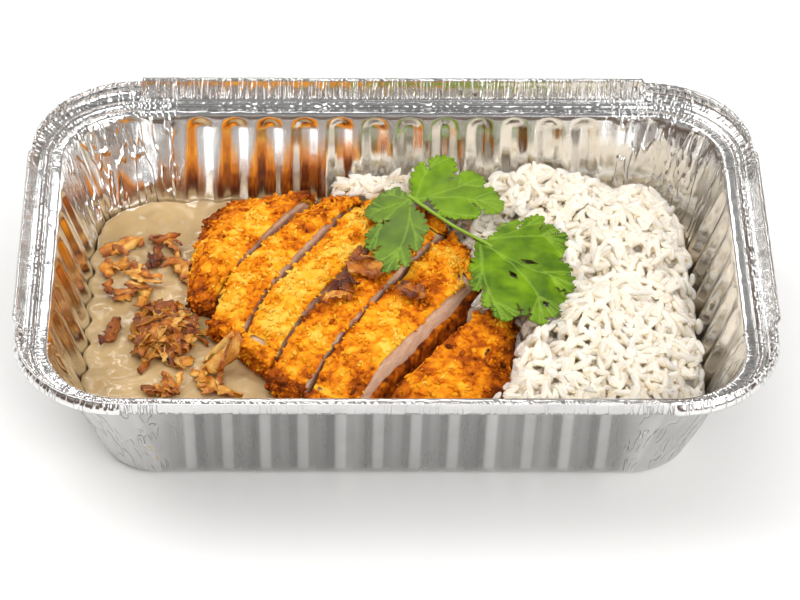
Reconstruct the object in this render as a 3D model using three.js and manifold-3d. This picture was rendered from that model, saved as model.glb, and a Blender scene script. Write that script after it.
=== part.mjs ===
// Takeaway meal in a foil tray: cream sauce, a breaded chicken cutlet cut in six slices, rice,
// crisp fried onion and a sprig of coriander. Millimetres, +Z up, origin at the middle of the
// tray's underside, +X along the tray towards the rice, -Y the long side nearest the eater.
import * as THREE from "three";
import { mergeVertices } from "three/addons/utils/BufferGeometryUtils.js";
import Module from "manifold-3d";

const wasm = await Module();
wasm.setup();

// ---------------------------------------------------------------- driving dimensions

const TRAY = {
  mouthHalfLength: 100.3, // to the inner edge of the ledge
  mouthHalfWidth: 64.3,
  mouthRadius: 22,
  floorHalfLength: 85.9,
  floorHalfWidth: 49.9,
  floorRadius: 17,
  ledgeHeight: 44, // height of the ledge round the mouth
  ledgeWidth: 7.3, // ledge with its raised bead, out to the foot of the flange
  flangeFlare: 1.6, // how far the flange leans out
  rollHeight: 50.5, // middle of the rolled edge
  rollRadius: 0.8,
  foil: 0.45,
};

const FLUTE = {
  pitch: 10.8,
  width: 8.4,
  depth: 1.7,
  longSide: 12, // flutes in a long side
  shortSide: 6,
  foot: 3.4, // heights at which a flute starts, ends and has faded out
  top: 39.5,
  fade: 42.4,
};

// The flange stands straight along each side and gives way to a crimped lip round the corners.
const FLANGE_REACH = { long: 77.4, short: 37, step: 0.7 };
const CRIMP = { inset: 1.2, depth: 0.45, cornerSteps: 10 };

const GAP = 0.35; // clearance between touching foods

const SAUCE = { level: 16.8 };

// The sauce ends and the rice begins under the chicken, along a slanting line across the tray.
const DIVIDE = { backX: -21, frontX: -2, halfGap: 0.2 };

const RICE = {
  crown: 30.2,
  besideChicken: 19.5, // height where it meets the slices that lie on it
  climb: 0.75, // how fast it rises away from them
  underChicken: 13.8,
  endFrom: 58, // where it starts to fall towards the tray's end, and how fast
  endFall: 0.0105,
  sideFrom: 28, // the same towards the long sides
  sideFall: 0.0065,
  step: 1.5, // width of the step up from under the chicken
  lump: 1.3,
  waves: [[0.37, 0.21, 0], [-0.17, 0.43, 1.3], [0.71, -0.53, 0]], // lumps: per mm along x and y, start
  grid: 8,
  grains: 84,
  grainLength: 7,
  grainRadius: 1.25,
  grainMargin: 6, // how far the grains' middles stay from the walls
  grainProud: 0.35, // how far they stand out of the core at least
  grainTilt: 0.28, // radians that they tip up or down at random
};

const CUTLET = {
  underside: 14.2,
  crust: 1.7,
  bottomCrust: 2.4,
  crag: 0.9, // how deep the crust's hollows go
  seam: 0.45, // clearance between crust and meat
  pocket: 0.3, // where the meat of an end slice stops, as a share of the slice's width
  bowSlack: 0.2, // extra room for a bowed cut face, as a share of its bow
};

// One entry a slice, from the sauce side to the rice side. left and right are the upper edges
// of its two cut faces as [front x, front y, back x, back y]; bow is how far each of them bends
// to the left halfway; top is the height at each; lean is how far the cut runs out at the
// bottom; rounded marks the side that is the cutlet's own crusted edge.
const SLICES = [
  {
    left: [-64, 3, -58, 47], right: [-55.5, -0.5, -24.6, 49.5],
    bow: [0, 0], top: [26, 29.8], lean: 2.2, rounded: "left",
  },
  {
    left: [-56, -9, -20, 46.5], right: [-48, -17.4, -9.6, 46.2],
    bow: [3, 1.2], top: [30.4, 30.6], lean: 1.4,
  },
  { left: [-47, -18.5, -7.6, 45.8], right: [-38.5, -28.5, 6, 42], bow: [0.6, 0], top: [31, 31], lean: 1.8 },
  { left: [-38.3, -32, 8, 41.5], right: [-29, -41, 16.8, 32.8], bow: [0, 0], top: [31.2, 31], lean: 0.8 },
  { left: [-28, -41, 18.2, 31.5], right: [-16, -50, 24.5, 9.5], bow: [0, 0], top: [31, 30.4], lean: 4.4 },
  {
    left: [-6.4, -49, 28.4, -3.4], right: [29, -51.5, 37, -5.5],
    bow: [0, 0], top: [29.6, 27], lean: 2, rounded: "right",
  },
];

// Shreds of fried onion: ends as [x, y, x, y] and, off the sauce, base as the height they lie at.
// bend bows a shred sideways, arch lifts its middle, twist turns it over, tip lifts its far end.
const ONION_SHREDS = [
  { ends: [-88.4, 29.2, -77.2, 34.4], width: 3.2, bend: 0.6, arch: 1.2, twist: 0.5 },
  { ends: [-86.6, 18, -82.6, 26.2], width: 3.4, bend: 0.4, arch: 0.9, twist: -0.4 },
  { ends: [-73.6, 36.4, -66.2, 28.6], width: 3, bend: 1.4, arch: 1.4, twist: 0.7 },
  { ends: [-75.4, 23.2, -72, 31], width: 2.8, bend: -0.8, arch: 1, twist: -0.6 },
  { ends: [-79.4, 23.6, -70.6, 15.4], width: 3, bend: -2.4, arch: 1.6, twist: 0.8 },
  { ends: [-77, 14.4, -76.4, 4.6], width: 3.4, bend: 0.9, arch: 1.1, twist: -0.5 },
  { ends: [-84.4, 7.4, -79.6, 12.4], width: 3.8, bend: 0.2, arch: 0.8, twist: 0.3 },
  { ends: [-86.6, -12.8, -81.2, -2.8], width: 4.4, bend: 1.2, arch: 1.2, twist: 0.4 },
  { ends: [-68.4, -26.2, -62.4, -33.6], width: 3.6, bend: -0.6, arch: 1.1, twist: -0.5 },
  { ends: [-73.6, -31.6, -66.6, -37], width: 3.4, bend: 0.7, arch: 1.2, twist: 0.4 },
  { ends: [-60.2, -25.8, -54.6, -33.6], width: 3.8, bend: 0.9, arch: 1.3, twist: 0.5 },
  { ends: [-53.2, -27.4, -46, -35.6], width: 4, bend: -0.7, arch: 1.4, twist: -0.6 },
  { ends: [-68.6, 26.2, -62.6, 13.6], width: 4, bend: 1.2, arch: 1.5, twist: 0.5 },
  // lying on the chicken
  { ends: [-21.2, -8.6, -13.4, -7.6], width: 3, base: 31.4, bend: 0.9, arch: 1, twist: 0.3 },
  { ends: [-15.8, -4.4, -12.4, 0.8], width: 3.6, base: 31.4, bend: 0.5, arch: 1.3, twist: -0.4 },
  { ends: [-11.4, 11.2, -6.4, 1.2], width: 5, base: 31.4, bend: 0.7, arch: 1.1, twist: 0.2 },
  { ends: [1.8, -2.6, 7.4, -8.2], width: 3.4, base: 31.4, bend: 0.6, arch: 1, twist: 0.4 },
  // one long pale shred leans from the sauce against the end of the third slice
  { ends: [-56.4, -22.2, -46.4, -23.2], width: 5, bend: 0.8, arch: 0.8, twist: 0.2, tip: 9.6 },
];
const SHRED_THICKNESS = 1;

const HEAP = {
  x: -68,
  y: -9.5,
  halfLength: 11,
  halfWidth: 12.5,
  height: 5,
  shreds: 12,
  shredLength: 13,
  shredWidth: 3,
  mound: 0.86, // the mound under the shreds, as a share of the heap's length and width
  spread: 0.8, // how far out the middles of the shreds lie, likewise
};

// Outlines of the three coriander leaflets, seen from above, from the stalk round and back.
// Each point is [x, y, z]; the edge between them is toothed.
const LEAVES = [
  {
    heart: [20.4, 36.6, 35.6],
    edge: [
      [7.2, 33.8, 34.2], [5.6, 43.4, 34.6], [8.8, 51.6, 35.4], [15.4, 55.6, 36.2], [19.2, 49.4, 36],
      [17.4, 43.6, 35.6], [22.4, 48, 36.4], [28.2, 44, 36.2], [31.4, 38.6, 35.6], [33.2, 31.4, 34.8],
      [31, 27, 34.4], [25.8, 25.8, 34.6], [18.8, 25.8, 34.8], [12.4, 29.8, 34.6],
    ],
  },
  {
    heart: [-0.4, 22.4, 34.4],
    edge: [
      [6.6, 35.4, 34], [1, 41.8, 33.8], [-4.4, 37.6, 33.6], [-7.8, 31.4, 33.4], [-5.2, 26, 33.8],
      [-7.6, 18.2, 33.4], [-6.2, 9.6, 33.4], [-2.4, 3, 33.4], [2.8, 5.2, 33.4], [7, 12.8, 33.6],
      [9.8, 22.8, 34], [8.8, 30.2, 34.2],
    ],
  },
  {
    heart: [38.6, 4.8, 35.2],
    edge: [
      [26.4, 15.8, 34.2], [31.8, 21.8, 34.6], [35.6, 26, 35], [43.2, 28, 35.2], [49, 23.4, 34.8],
      [52.6, 16.8, 34.4], [51, 6.6, 34.8], [54, -3.4, 34], [51.4, -11.4, 33.6], [47, -18.4, 33.4],
      [42.4, -21.8, 33.2], [33.4, -20.8, 33.4], [28.6, -14.6, 33.8], [26.6, -5.8, 34.4],
      [22.8, -6.6, 33.6], [22.2, 1.6, 33.8], [23.4, 9.4, 34],
    ],
  },
];
const LEAF = {
  thickness: 0.5,
  tooth: 0.8,
  samples: 36,
  samplesPerTooth: 3,
  ring: 0.52, // the wavy ring inside the edge, as a share of the way out from the heart
  wave: 0.35,
  waves: 5,
};
const STEM = { radius: 0.75, sides: 6, steps: 7 };
const STEM_PATH = [
  [4.6, 37.2, 34.2], [8.4, 32.4, 34.4], [13.8, 26.6, 34.6], [20, 20.8, 34.8], [28.4, 13.8, 34.6],
];

// ---------------------------------------------------------------- finishes

const FINISH = {
  foil: { color: 0xc9cbcc, roughness: 0.28, metalness: 1 },
  sauce: { color: 0xd9c08f, roughness: 0.25, metalness: 0 },
  rice: { color: 0xf4efe4, roughness: 0.55, metalness: 0 },
  crust: { color: 0xe09a2c, roughness: 0.7, metalness: 0 },
  meat: { color: 0xd9a893, roughness: 0.5, metalness: 0 },
  onion: { color: 0xa85a1c, roughness: 0.5, metalness: 0 },
  leaf: { color: 0x4c9a2c, roughness: 0.5, metalness: 0 },
};

// ---------------------------------------------------------------- small helpers

const { lerp, clamp, degToRad } = THREE.MathUtils;
const GOLDEN_ANGLE = Math.PI * (3 - Math.sqrt(5));
const PLASTIC_RATIO = 1.324717957; // the root of x * x * x = x + 1

/** Repeatable random numbers from 0 to 1. */
function randomSource(seed) {
  let state = seed >>> 0;
  return () => {
    state = (state + 0x6d2b79f5) >>> 0;
    let mixed = Math.imul(state ^ (state >>> 15), 1 | state);
    mixed = (mixed + Math.imul(mixed ^ (mixed >>> 7), 61 | mixed)) ^ mixed;
    return ((mixed ^ (mixed >>> 14)) >>> 0) / 4294967296;
  };
}

/** Indexed geometry from a flat list of coordinates and a list of triangle corners. */
function indexedGeometry(coordinates, corners) {
  const geometry = new THREE.BufferGeometry();
  geometry.setAttribute("position", new THREE.Float32BufferAttribute(coordinates, 3));
  geometry.setIndex(corners);
  return geometry;
}

/** Volume inside a closed indexed geometry, negative when its faces point inwards. */
function signedVolume(coordinates, corners) {
  const [a, b, c] = [new THREE.Vector3(), new THREE.Vector3(), new THREE.Vector3()];
  let volume = 0;
  for (let i = 0; i < corners.length; i += 3) {
    a.fromArray(coordinates, corners[i] * 3);
    b.fromArray(coordinates, corners[i + 1] * 3);
    c.fromArray(coordinates, corners[i + 2] * 3);
    volume += a.dot(b.cross(c)) / 6;
  }
  return volume;
}

/**
 * Closed skin through a row of rings. A ring is a list of { t, point }, once round, with t
 * rising along it on a scale that all the rings share; neighbouring rings may have different
 * counts. With loop the last ring joins the first, otherwise both ends close on their middles.
 */
function skin(rings, { loop = false } = {}) {
  const coordinates = [];
  const corners = [];
  const starts = rings.map((ring) => {
    const start = coordinates.length / 3;
    ring.forEach(({ point }) => coordinates.push(point.x, point.y, point.z));
    return start;
  });
  const joinRings = (low, high) => {
    const [ringA, ringB] = [rings[low], rings[high]];
    const [startA, startB] = [starts[low], starts[high]];
    const next = (ring, i) => (i + 1 < ring.length ? ring[i + 1].t : Infinity);
    let [i, j] = [0, 0];
    while (i < ringA.length || j < ringB.length) {
      const [cornerA, cornerB] = [startA + (i % ringA.length), startB + (j % ringB.length)];
      const advanceA = j >= ringB.length || (i < ringA.length && next(ringA, i) <= next(ringB, j));
      if (advanceA) {
        i += 1;
        corners.push(cornerA, startA + (i % ringA.length), cornerB);
      } else {
        j += 1;
        corners.push(cornerA, startB + (j % ringB.length), cornerB);
      }
    }
  };
  const closeRing = (index, outwards) => {
    const ring = rings[index];
    const sum = ring.reduce((total, { point }) => total.add(point), new THREE.Vector3());
    const middle = sum.divideScalar(ring.length);
    const centre = coordinates.length / 3;
    coordinates.push(middle.x, middle.y, middle.z);
    ring.forEach((_, i) => {
      const [here, there] = [starts[index] + i, starts[index] + ((i + 1) % ring.length)];
      corners.push(...(outwards ? [here, there, centre] : [there, here, centre]));
    });
  };
  for (let ring = 0; ring + 1 < rings.length; ring += 1) {
    joinRings(ring, ring + 1);
  }
  if (loop) {
    joinRings(rings.length - 1, 0);
  } else {
    closeRing(0, false);
    closeRing(rings.length - 1, true);
  }
  if (signedVolume(coordinates, corners) < 0) {
    corners.reverse();
  }
  return indexedGeometry(coordinates, corners);
}

/** Ring of { t, point } from plain points, numbered in order. */
const numbered = (points) => points.map((point, t) => ({ t: t / points.length, point }));

/** Solid for joining and cutting, from a closed geometry. */
function toSolid(geometry) {
  const bare = new THREE.BufferGeometry();
  bare.setAttribute("position", geometry.getAttribute("position").clone());
  if (geometry.index) {
    bare.setIndex(geometry.index.clone());
  }
  const merged = mergeVertices(bare, 1e-4);
  const vertProperties = new Float32Array(merged.getAttribute("position").array);
  const triVerts = new Uint32Array(merged.index.array);
  return new wasm.Manifold(new wasm.Mesh({ numProp: 3, vertProperties, triVerts }));
}

/** Geometry of a solid after joining and cutting. */
function toGeometry(solid) {
  const { numProp, vertProperties, triVerts } = solid.getMesh();
  const coordinates = [];
  for (let i = 0; i < vertProperties.length; i += numProp) {
    coordinates.push(vertProperties[i], vertProperties[i + 1], vertProperties[i + 2]);
  }
  return indexedGeometry(coordinates, Array.from(triVerts));
}

/** The largest of the separate bodies in a solid, so that scraps left by a cut are dropped. */
function largestBody(solid) {
  return solid.decompose().reduce((best, body) => (body.volume() > best.volume() ? body : best));
}

/** Named mesh of one food or of the tray. */
function piece(name, geometry, finish) {
  const mesh = new THREE.Mesh(geometry, new THREE.MeshStandardMaterial(finish));
  mesh.name = name;
  return mesh;
}

// ---------------------------------------------------------------- tray

/** Half length, half width and corner radius of the tray's inside at a height. */
function insideAt(z) {
  const rise = clamp(z / TRAY.ledgeHeight, 0, 1);
  return {
    halfLength: lerp(TRAY.floorHalfLength, TRAY.mouthHalfLength, rise),
    halfWidth: lerp(TRAY.floorHalfWidth, TRAY.mouthHalfWidth, rise),
    radius: lerp(TRAY.floorRadius, TRAY.mouthRadius, rise),
  };
}

const MOUTH = insideAt(TRAY.ledgeHeight);
const STRAIGHT = {
  long: MOUTH.halfLength - MOUTH.radius,
  short: MOUTH.halfWidth - MOUTH.radius,
};

/** Stations round the tray: along, a distance on a side, or turn, an angle round a corner. */
function stationsRound(sideStations, cornerSteps) {
  const stations = [];
  for (let side = 0; side < 4; side += 1) {
    const kind = side % 2 === 0 ? "long" : "short";
    const half = STRAIGHT[kind];
    stations.push({ side, kind, end: -1, t: 2 * side });
    sideStations(kind).forEach(({ along, ...rest }) => {
      stations.push({ side, kind, along, t: 2 * side + 0.5 + along / (2 * half), ...rest });
    });
    stations.push({ side, kind, end: 1, t: 2 * side + 1 });
    for (let step = 1; step < cornerSteps; step += 1) {
      const share = step / cornerSteps;
      stations.push({ side, kind, turn: share * 90, t: 2 * side + 1 + share, corner: step });
    }
  }
  return stations;
}

/** Point at a station of a rounded rectangle, moved out by out and set at height z. */
function pointAt(station, { halfLength, halfWidth, radius }, out, z) {
  const sideTurn = degToRad(90 * station.side);
  const forward = new THREE.Vector3(Math.cos(sideTurn), Math.sin(sideTurn), 0);
  const outward = new THREE.Vector3(forward.y, -forward.x, 0);
  const [reach, across] = station.kind === "long" ? [halfLength, halfWidth] : [halfWidth, halfLength];
  const point = new THREE.Vector3(0, 0, z);
  if (station.turn === undefined) {
    const along = station.along ?? station.end * (reach - radius);
    return point.addScaledVector(forward, along).addScaledVector(outward, across + out);
  }
  const turn = degToRad(station.turn);
  point.addScaledVector(forward, reach - radius).addScaledVector(outward, across - radius);
  point.addScaledVector(outward, Math.cos(turn) * (radius + out));
  return point.addScaledVector(forward, Math.sin(turn) * (radius + out));
}

/** Places on a side at which its flutes stand. */
function fluteMiddles(kind) {
  const count = kind === "long" ? FLUTE.longSide : FLUTE.shortSide;
  return Array.from({ length: count }, (_, flute) => (flute - (count - 1) / 2) * FLUTE.pitch);
}

/** Stations of the wall where the flutes are deep, five to each. */
function fluteStations(kind) {
  const shape = [[-0.5, 0], [-0.34, 0.8], [0, 1], [0.34, 0.8], [0.5, 0]];
  return fluteMiddles(kind).flatMap((middle) => shape
    .map(([across, bulge]) => ({ along: middle + across * FLUTE.width, bulge })));
}

/** Stations of the wall where the flutes run out, two to each. */
function fluteEndStations(kind) {
  return fluteMiddles(kind).flatMap((middle) => [-0.36, 0.36]
    .map((across) => ({ along: middle + across * FLUTE.width })));
}

/** Stations of the rim, with the ends of the straight flange on each side. */
function flangeStations(kind) {
  const reach = FLANGE_REACH[kind];
  const outer = Math.min(reach + FLANGE_REACH.step, STRAIGHT[kind] - 0.2);
  const straight = [-reach, reach].map((along) => ({ along, flange: true }));
  return [{ along: -outer }, ...straight, { along: outer }];
}

const WALL_STATIONS = stationsRound(fluteStations, 6);
const FADE_STATIONS = stationsRound(fluteEndStations, 6);
const PLAIN_STATIONS = stationsRound(() => [], 6);
const RIM_STATIONS = stationsRound(flangeStations, CRIMP.cornerSteps);

/** Ring on the wall's line at height z, moved in by inset. */
function wallRing(z, inset, stations = PLAIN_STATIONS, fluteDepth = 0) {
  const inside = insideAt(z);
  return stations.map((station) => ({
    t: station.t,
    point: pointAt(station, inside, fluteDepth * (station.bulge ?? 0) - inset, z),
  }));
}

/** Ring of the rim: straight and corner give [out, z] along the sides and round the corners. */
function rimRing(straight, corner = straight, crimp = 0) {
  return RIM_STATIONS.map((station) => {
    const [out, z] = station.flange ? straight : corner;
    const pleat = station.corner === undefined ? 0 : crimp * (station.corner % 2 === 0 ? 1 : -1);
    return { t: station.t, point: pointAt(station, MOUTH, out + pleat, z) };
  });
}

/** Wall rings from the floor up for one face of the foil; shift is the face's place. */
function wallFace(shift) {
  const z = (height) => height - shift;
  const lift = (height) => Math.max(0, z(height));
  const moved = (ring) => ring.map(({ t, point }) => ({ t, point: point.clone().setZ(lift(point.z)) }));
  return [
    moved(wallRing(TRAY.foil, 2.6 - shift * 0.4)),
    moved(wallRing(1.3, 0.75 - shift * 0.8, FADE_STATIONS)),
    wallRing(FLUTE.foot, -shift, WALL_STATIONS, FLUTE.depth),
    wallRing(FLUTE.top, -shift, WALL_STATIONS, FLUTE.depth),
    wallRing(FLUTE.fade, -shift, FADE_STATIONS),
  ];
}

/** The foil tray: fluted walls, beaded ledge, upright flange with a rolled edge. */
function foilTray() {
  const { foil, ledgeHeight, ledgeWidth, flangeFlare, rollHeight, rollRadius } = TRAY;
  const rollOut = ledgeWidth + flangeFlare + rollRadius * 0.7;
  const cornerOut = rollOut - CRIMP.inset;
  const cornerHeight = rollHeight - 0.8;
  const roll = [-75, -5, 65, 125, 185].map((degrees) => {
    const turn = degToRad(degrees);
    const [sideways, up] = [Math.cos(turn) * rollRadius, Math.sin(turn) * rollRadius];
    const [straight, corner] = [[rollOut, rollHeight], [cornerOut, cornerHeight]]
      .map(([out, z]) => [out + sideways, z + up]);
    return rimRing(straight, corner, CRIMP.depth);
  });
  const under = ledgeHeight - foil;
  const flangeTop = rollHeight - rollRadius;
  return skin([
    ...wallFace(foil),
    rimRing([foil + 0.1, under]),
    rimRing([ledgeWidth - 0.1, under]),
    rimRing([ledgeWidth + foil, ledgeHeight + 0.3], [ledgeWidth + 1.5, ledgeHeight + 0.4], CRIMP.depth),
    rimRing([rollOut - 0.3, flangeTop], [ledgeWidth + 2.3, ledgeHeight + 2.6], CRIMP.depth),
    ...roll,
    rimRing([rollOut - 0.3 - foil, flangeTop], [cornerOut - 0.3, cornerHeight - rollRadius], CRIMP.depth),
    rimRing([ledgeWidth, ledgeHeight + 0.4], [ledgeWidth + 0.4, ledgeHeight + 0.7], CRIMP.depth),
    rimRing([ledgeWidth - 0.7, ledgeHeight + 0.15]),
    rimRing([ledgeWidth - 2, ledgeHeight + 0.85]),
    rimRing([ledgeWidth - 3.3, ledgeHeight + 0.1]),
    rimRing([0.35, ledgeHeight + 0.1]),
    ...wallFace(0).reverse(),
  ]);
}

/** The space inside the tray up to a height, drawn in from the foil by the clearance. */
function cavity(top) {
  return toSolid(skin([
    wallRing(TRAY.foil + GAP, 2.6 + GAP),
    wallRing(1.3 + GAP, 0.75 + GAP),
    wallRing(FLUTE.foot, GAP),
    wallRing(top, GAP),
  ]));
}

// ---------------------------------------------------------------- sides of the tray

/** The x at which the sauce ends and the rice begins, at a place across the tray. */
function divideAt(y) {
  const halfWidth = TRAY.mouthHalfWidth;
  return lerp(DIVIDE.frontX, DIVIDE.backX, (y + halfWidth) / (2 * halfWidth));
}

/** Block that fills one side of the dividing line; towards is 1 for the rice, -1 for the sauce. */
function sideBlock(towards) {
  const far = towards * 2 * TRAY.mouthHalfLength;
  const [deep, tall] = [2 * TRAY.mouthHalfWidth, 2 * TRAY.rollHeight];
  const edge = (y) => divideAt(y) + towards * DIVIDE.halfGap;
  const outline = new THREE.Shape([
    new THREE.Vector2(edge(-deep), -deep),
    new THREE.Vector2(far, -deep),
    new THREE.Vector2(far, deep),
    new THREE.Vector2(edge(deep), deep),
  ]);
  const block = new THREE.ExtrudeGeometry(outline, { depth: tall, bevelEnabled: false });
  return toSolid(block.translate(0, 0, -tall / 4));
}

// ---------------------------------------------------------------- chicken

/**
 * Rounded slab seen from its cut side: { along, height, t } from 0 to 1, flat underneath, with t
 * rising by 1 over each of bottom, back end, top and front end.
 */
function slabSection(topSteps, sparse) {
  const bottom = [[sparse ? 0.02 : 0.05, 0], [0.35, 0], [0.65, 0], [sparse ? 0.98 : 0.95, 0]];
  const backEnd = sparse ? [[1, 0.5]] : [[0.99, 0.22], [1, 0.55], [0.985, 0.85]];
  const frontEnd = sparse ? [[0, 0.5]] : [[0.015, 0.85], [0, 0.55], [0.01, 0.22]];
  const top = Array.from({ length: topSteps }, (_, step) => {
    const along = lerp(0.95, 0.05, step / (topSteps - 1));
    return [along, 1 - 0.3 * Math.abs(2 * along - 1) ** 5];
  });
  return [bottom, backEnd, top, frontEnd].flatMap((stretch, number) => stretch
    .map(([along, height], i) => ({ along, height, t: number + (i + 0.5) / stretch.length })));
}

/** Place on a slice: across from the left cut face to the right, along to the back, height. */
function sliceFrame(slice) {
  const [leftX, leftY, leftBackX, leftBackY] = slice.left;
  const [rightX, rightY, rightBackX, rightBackY] = slice.right;
  const alongLeft = new THREE.Vector2(leftBackX - leftX, leftBackY - leftY);
  const length = alongLeft.length();
  const toRight = new THREE.Vector2(alongLeft.y, -alongLeft.x).normalize();
  const point = (across, along, height, { grow = 0, crust = 0, floorCrust = 0 } = {}) => {
    const stretched = 0.5 + (along - 0.5) * (1 + (2 * (grow - crust)) / length);
    const ridge = lerp(slice.top[0], slice.top[1], clamp(across, 0, 1));
    const z = lerp(CUTLET.underside - grow + floorCrust, ridge + grow - crust, height);
    const run = slice.lean * clamp((ridge - z) / (ridge - CUTLET.underside), -0.1, 1.1);
    const bow = lerp(slice.bow[0], slice.bow[1], across) * Math.sin(Math.PI * clamp(stretched, 0, 1));
    const [left, right] = [slice.left, slice.right].map(([x, y, backX, backY]) => (
      new THREE.Vector2(lerp(x, backX, stretched), lerp(y, backY, stretched))));
    const place = left.lerp(right, across).addScaledVector(toRight, run - bow);
    return new THREE.Vector3(place.x, place.y, z);
  };
  const frontWidth = new THREE.Vector2(rightX - leftX, rightY - leftY).dot(toRight);
  const backWidth = new THREE.Vector2(rightBackX - leftBackX, rightBackY - leftBackY).dot(toRight);
  return { point, width: Math.min(frontWidth, backWidth) };
}

/** How much a slice's section shrinks at a place across it, where the crusted edge rounds off. */
function edgeShrink(slice, across) {
  if (!slice.rounded) {
    return 0;
  }
  const fromEdge = slice.rounded === "left" ? across : 1 - across;
  return Math.max(0, 1 - fromEdge / 0.3) ** 2;
}

/** Ring round a slice at a place across it. */
function sliceRing(slice, across, section, options = {}) {
  const { point } = sliceFrame(slice);
  const shrink = edgeShrink(slice, across);
  return section.map(({ along, height, t }) => {
    const drawn = lerp(along, 0.5, 0.22 * shrink);
    const lowered = lerp(height, 0.45, 0.55 * shrink);
    return { t, along: drawn, point: point(across, drawn, lowered, options) };
  });
}

/** Bare form of a whole slice, grown all round, for cutting its bed in the other foods. */
function sliceForm(slice, grow) {
  const section = slabSection(13, false);
  const { width } = sliceFrame(slice);
  const over = grow / width;
  const facets = (CUTLET.bowSlack * slice.bow[0]) / width;
  const places = [-over - facets, 0.25, 0.5, 0.75, 1 + over];
  return toSolid(skin(places.map((across) => sliceRing(slice, across, section, { grow }))));
}

/** Crumb crust of a slice: a band round the meat, or a cup where the slice ends the cutlet. */
function crumbCrust(slice, seed) {
  const random = randomSource(seed);
  const section = slabSection(13, false);
  const { point } = sliceFrame(slice);
  const rough = (ring, across) => ring.map(({ t, along, point: place }) => {
    const heart = point(clamp(across, 0.08, 0.92), clamp(along, 0.08, 0.92), 0.5);
    const inwards = heart.sub(place);
    const bite = CUTLET.crag * random();
    const sunk = place.clone().addScaledVector(inwards, bite / inwards.length());
    const drop = place.z > CUTLET.underside + 8 ? CUTLET.crag * 0.8 * random() : 0;
    return { t, point: sunk.setZ(sunk.z - drop) };
  });
  const outer = [0, 0.25, 0.5, 0.75, 1].map((across) => rough(sliceRing(slice, across, section), across));
  const tunnel = slabSection(5, true);
  const thickness = { crust: CUTLET.crust, floorCrust: CUTLET.bottomCrust };
  const hollow = (across) => sliceRing(slice, across, tunnel, thickness);
  if (!slice.rounded) {
    return skin([...outer, ...[1, 0.5, 0].map(hollow)], { loop: true });
  }
  return slice.rounded === "left"
    ? skin([...outer, ...[1, (1 + CUTLET.pocket) / 2, CUTLET.pocket].map(hollow)])
    : skin([...outer.reverse(), ...[0, (1 - CUTLET.pocket) / 2, 1 - CUTLET.pocket].map(hollow)]);
}

/** Meat of a slice, bare on the cut faces and a seam short of the crust elsewhere. */
function chickenMeat(slice) {
  const section = slabSection(5, true);
  const options = { crust: CUTLET.crust + CUTLET.seam, floorCrust: CUTLET.bottomCrust + CUTLET.seam };
  const { width } = sliceFrame(slice);
  const pocket = CUTLET.pocket + CUTLET.seam / width;
  const from = slice.rounded === "left" ? pocket : 0;
  const to = slice.rounded === "right" ? 1 - pocket : 1;
  return skin([from, (from + to) / 2, to].map((across) => sliceRing(slice, across, section, options)));
}

// ---------------------------------------------------------------- rice

/** How far a place lies outside a slice's outline, seen from above; negative inside it. */
function outsideSlice(slice, x, y) {
  const [frontLeft, backLeft] = [slice.left.slice(0, 2), slice.left.slice(2)];
  const [frontRight, backRight] = [slice.right.slice(0, 2), slice.right.slice(2)];
  const outline = [frontLeft, frontRight, backRight, backLeft];
  return outline.reduce((furthest, [fromX, fromY], i) => {
    const [toX, toY] = outline[(i + 1) % outline.length];
    const length = Math.hypot(toX - fromX, toY - fromY);
    const inside = ((toX - fromX) * (y - fromY) - (toY - fromY) * (x - fromX)) / length;
    return Math.max(furthest, -inside);
  }, -Infinity);
}

/** Height of the rice's core, lumpy, falling to the walls and down to the chicken on it. */
function riceHeight(x, y) {
  const endDrop = RICE.endFall * Math.max(0, x - RICE.endFrom) ** 2;
  const sideDrop = RICE.sideFall * Math.max(0, Math.abs(y) - RICE.sideFrom) ** 2;
  const waves = RICE.waves.map(([alongX, alongY, start]) => Math.sin(x * alongX + y * alongY + start));
  const lumps = (RICE.lump * waves.reduce((sum, wave) => sum + wave)) / waves.length;
  const open = RICE.crown - endDrop - sideDrop + lumps;
  const away = Math.min(...SLICES.map((slice) => outsideSlice(slice, x, y) - slice.lean));
  const step = lerp(RICE.underChicken, RICE.besideChicken, clamp(away / RICE.step, 0, 1));
  return Math.min(open, step + RICE.climb * Math.max(0, away - RICE.step));
}

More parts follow.
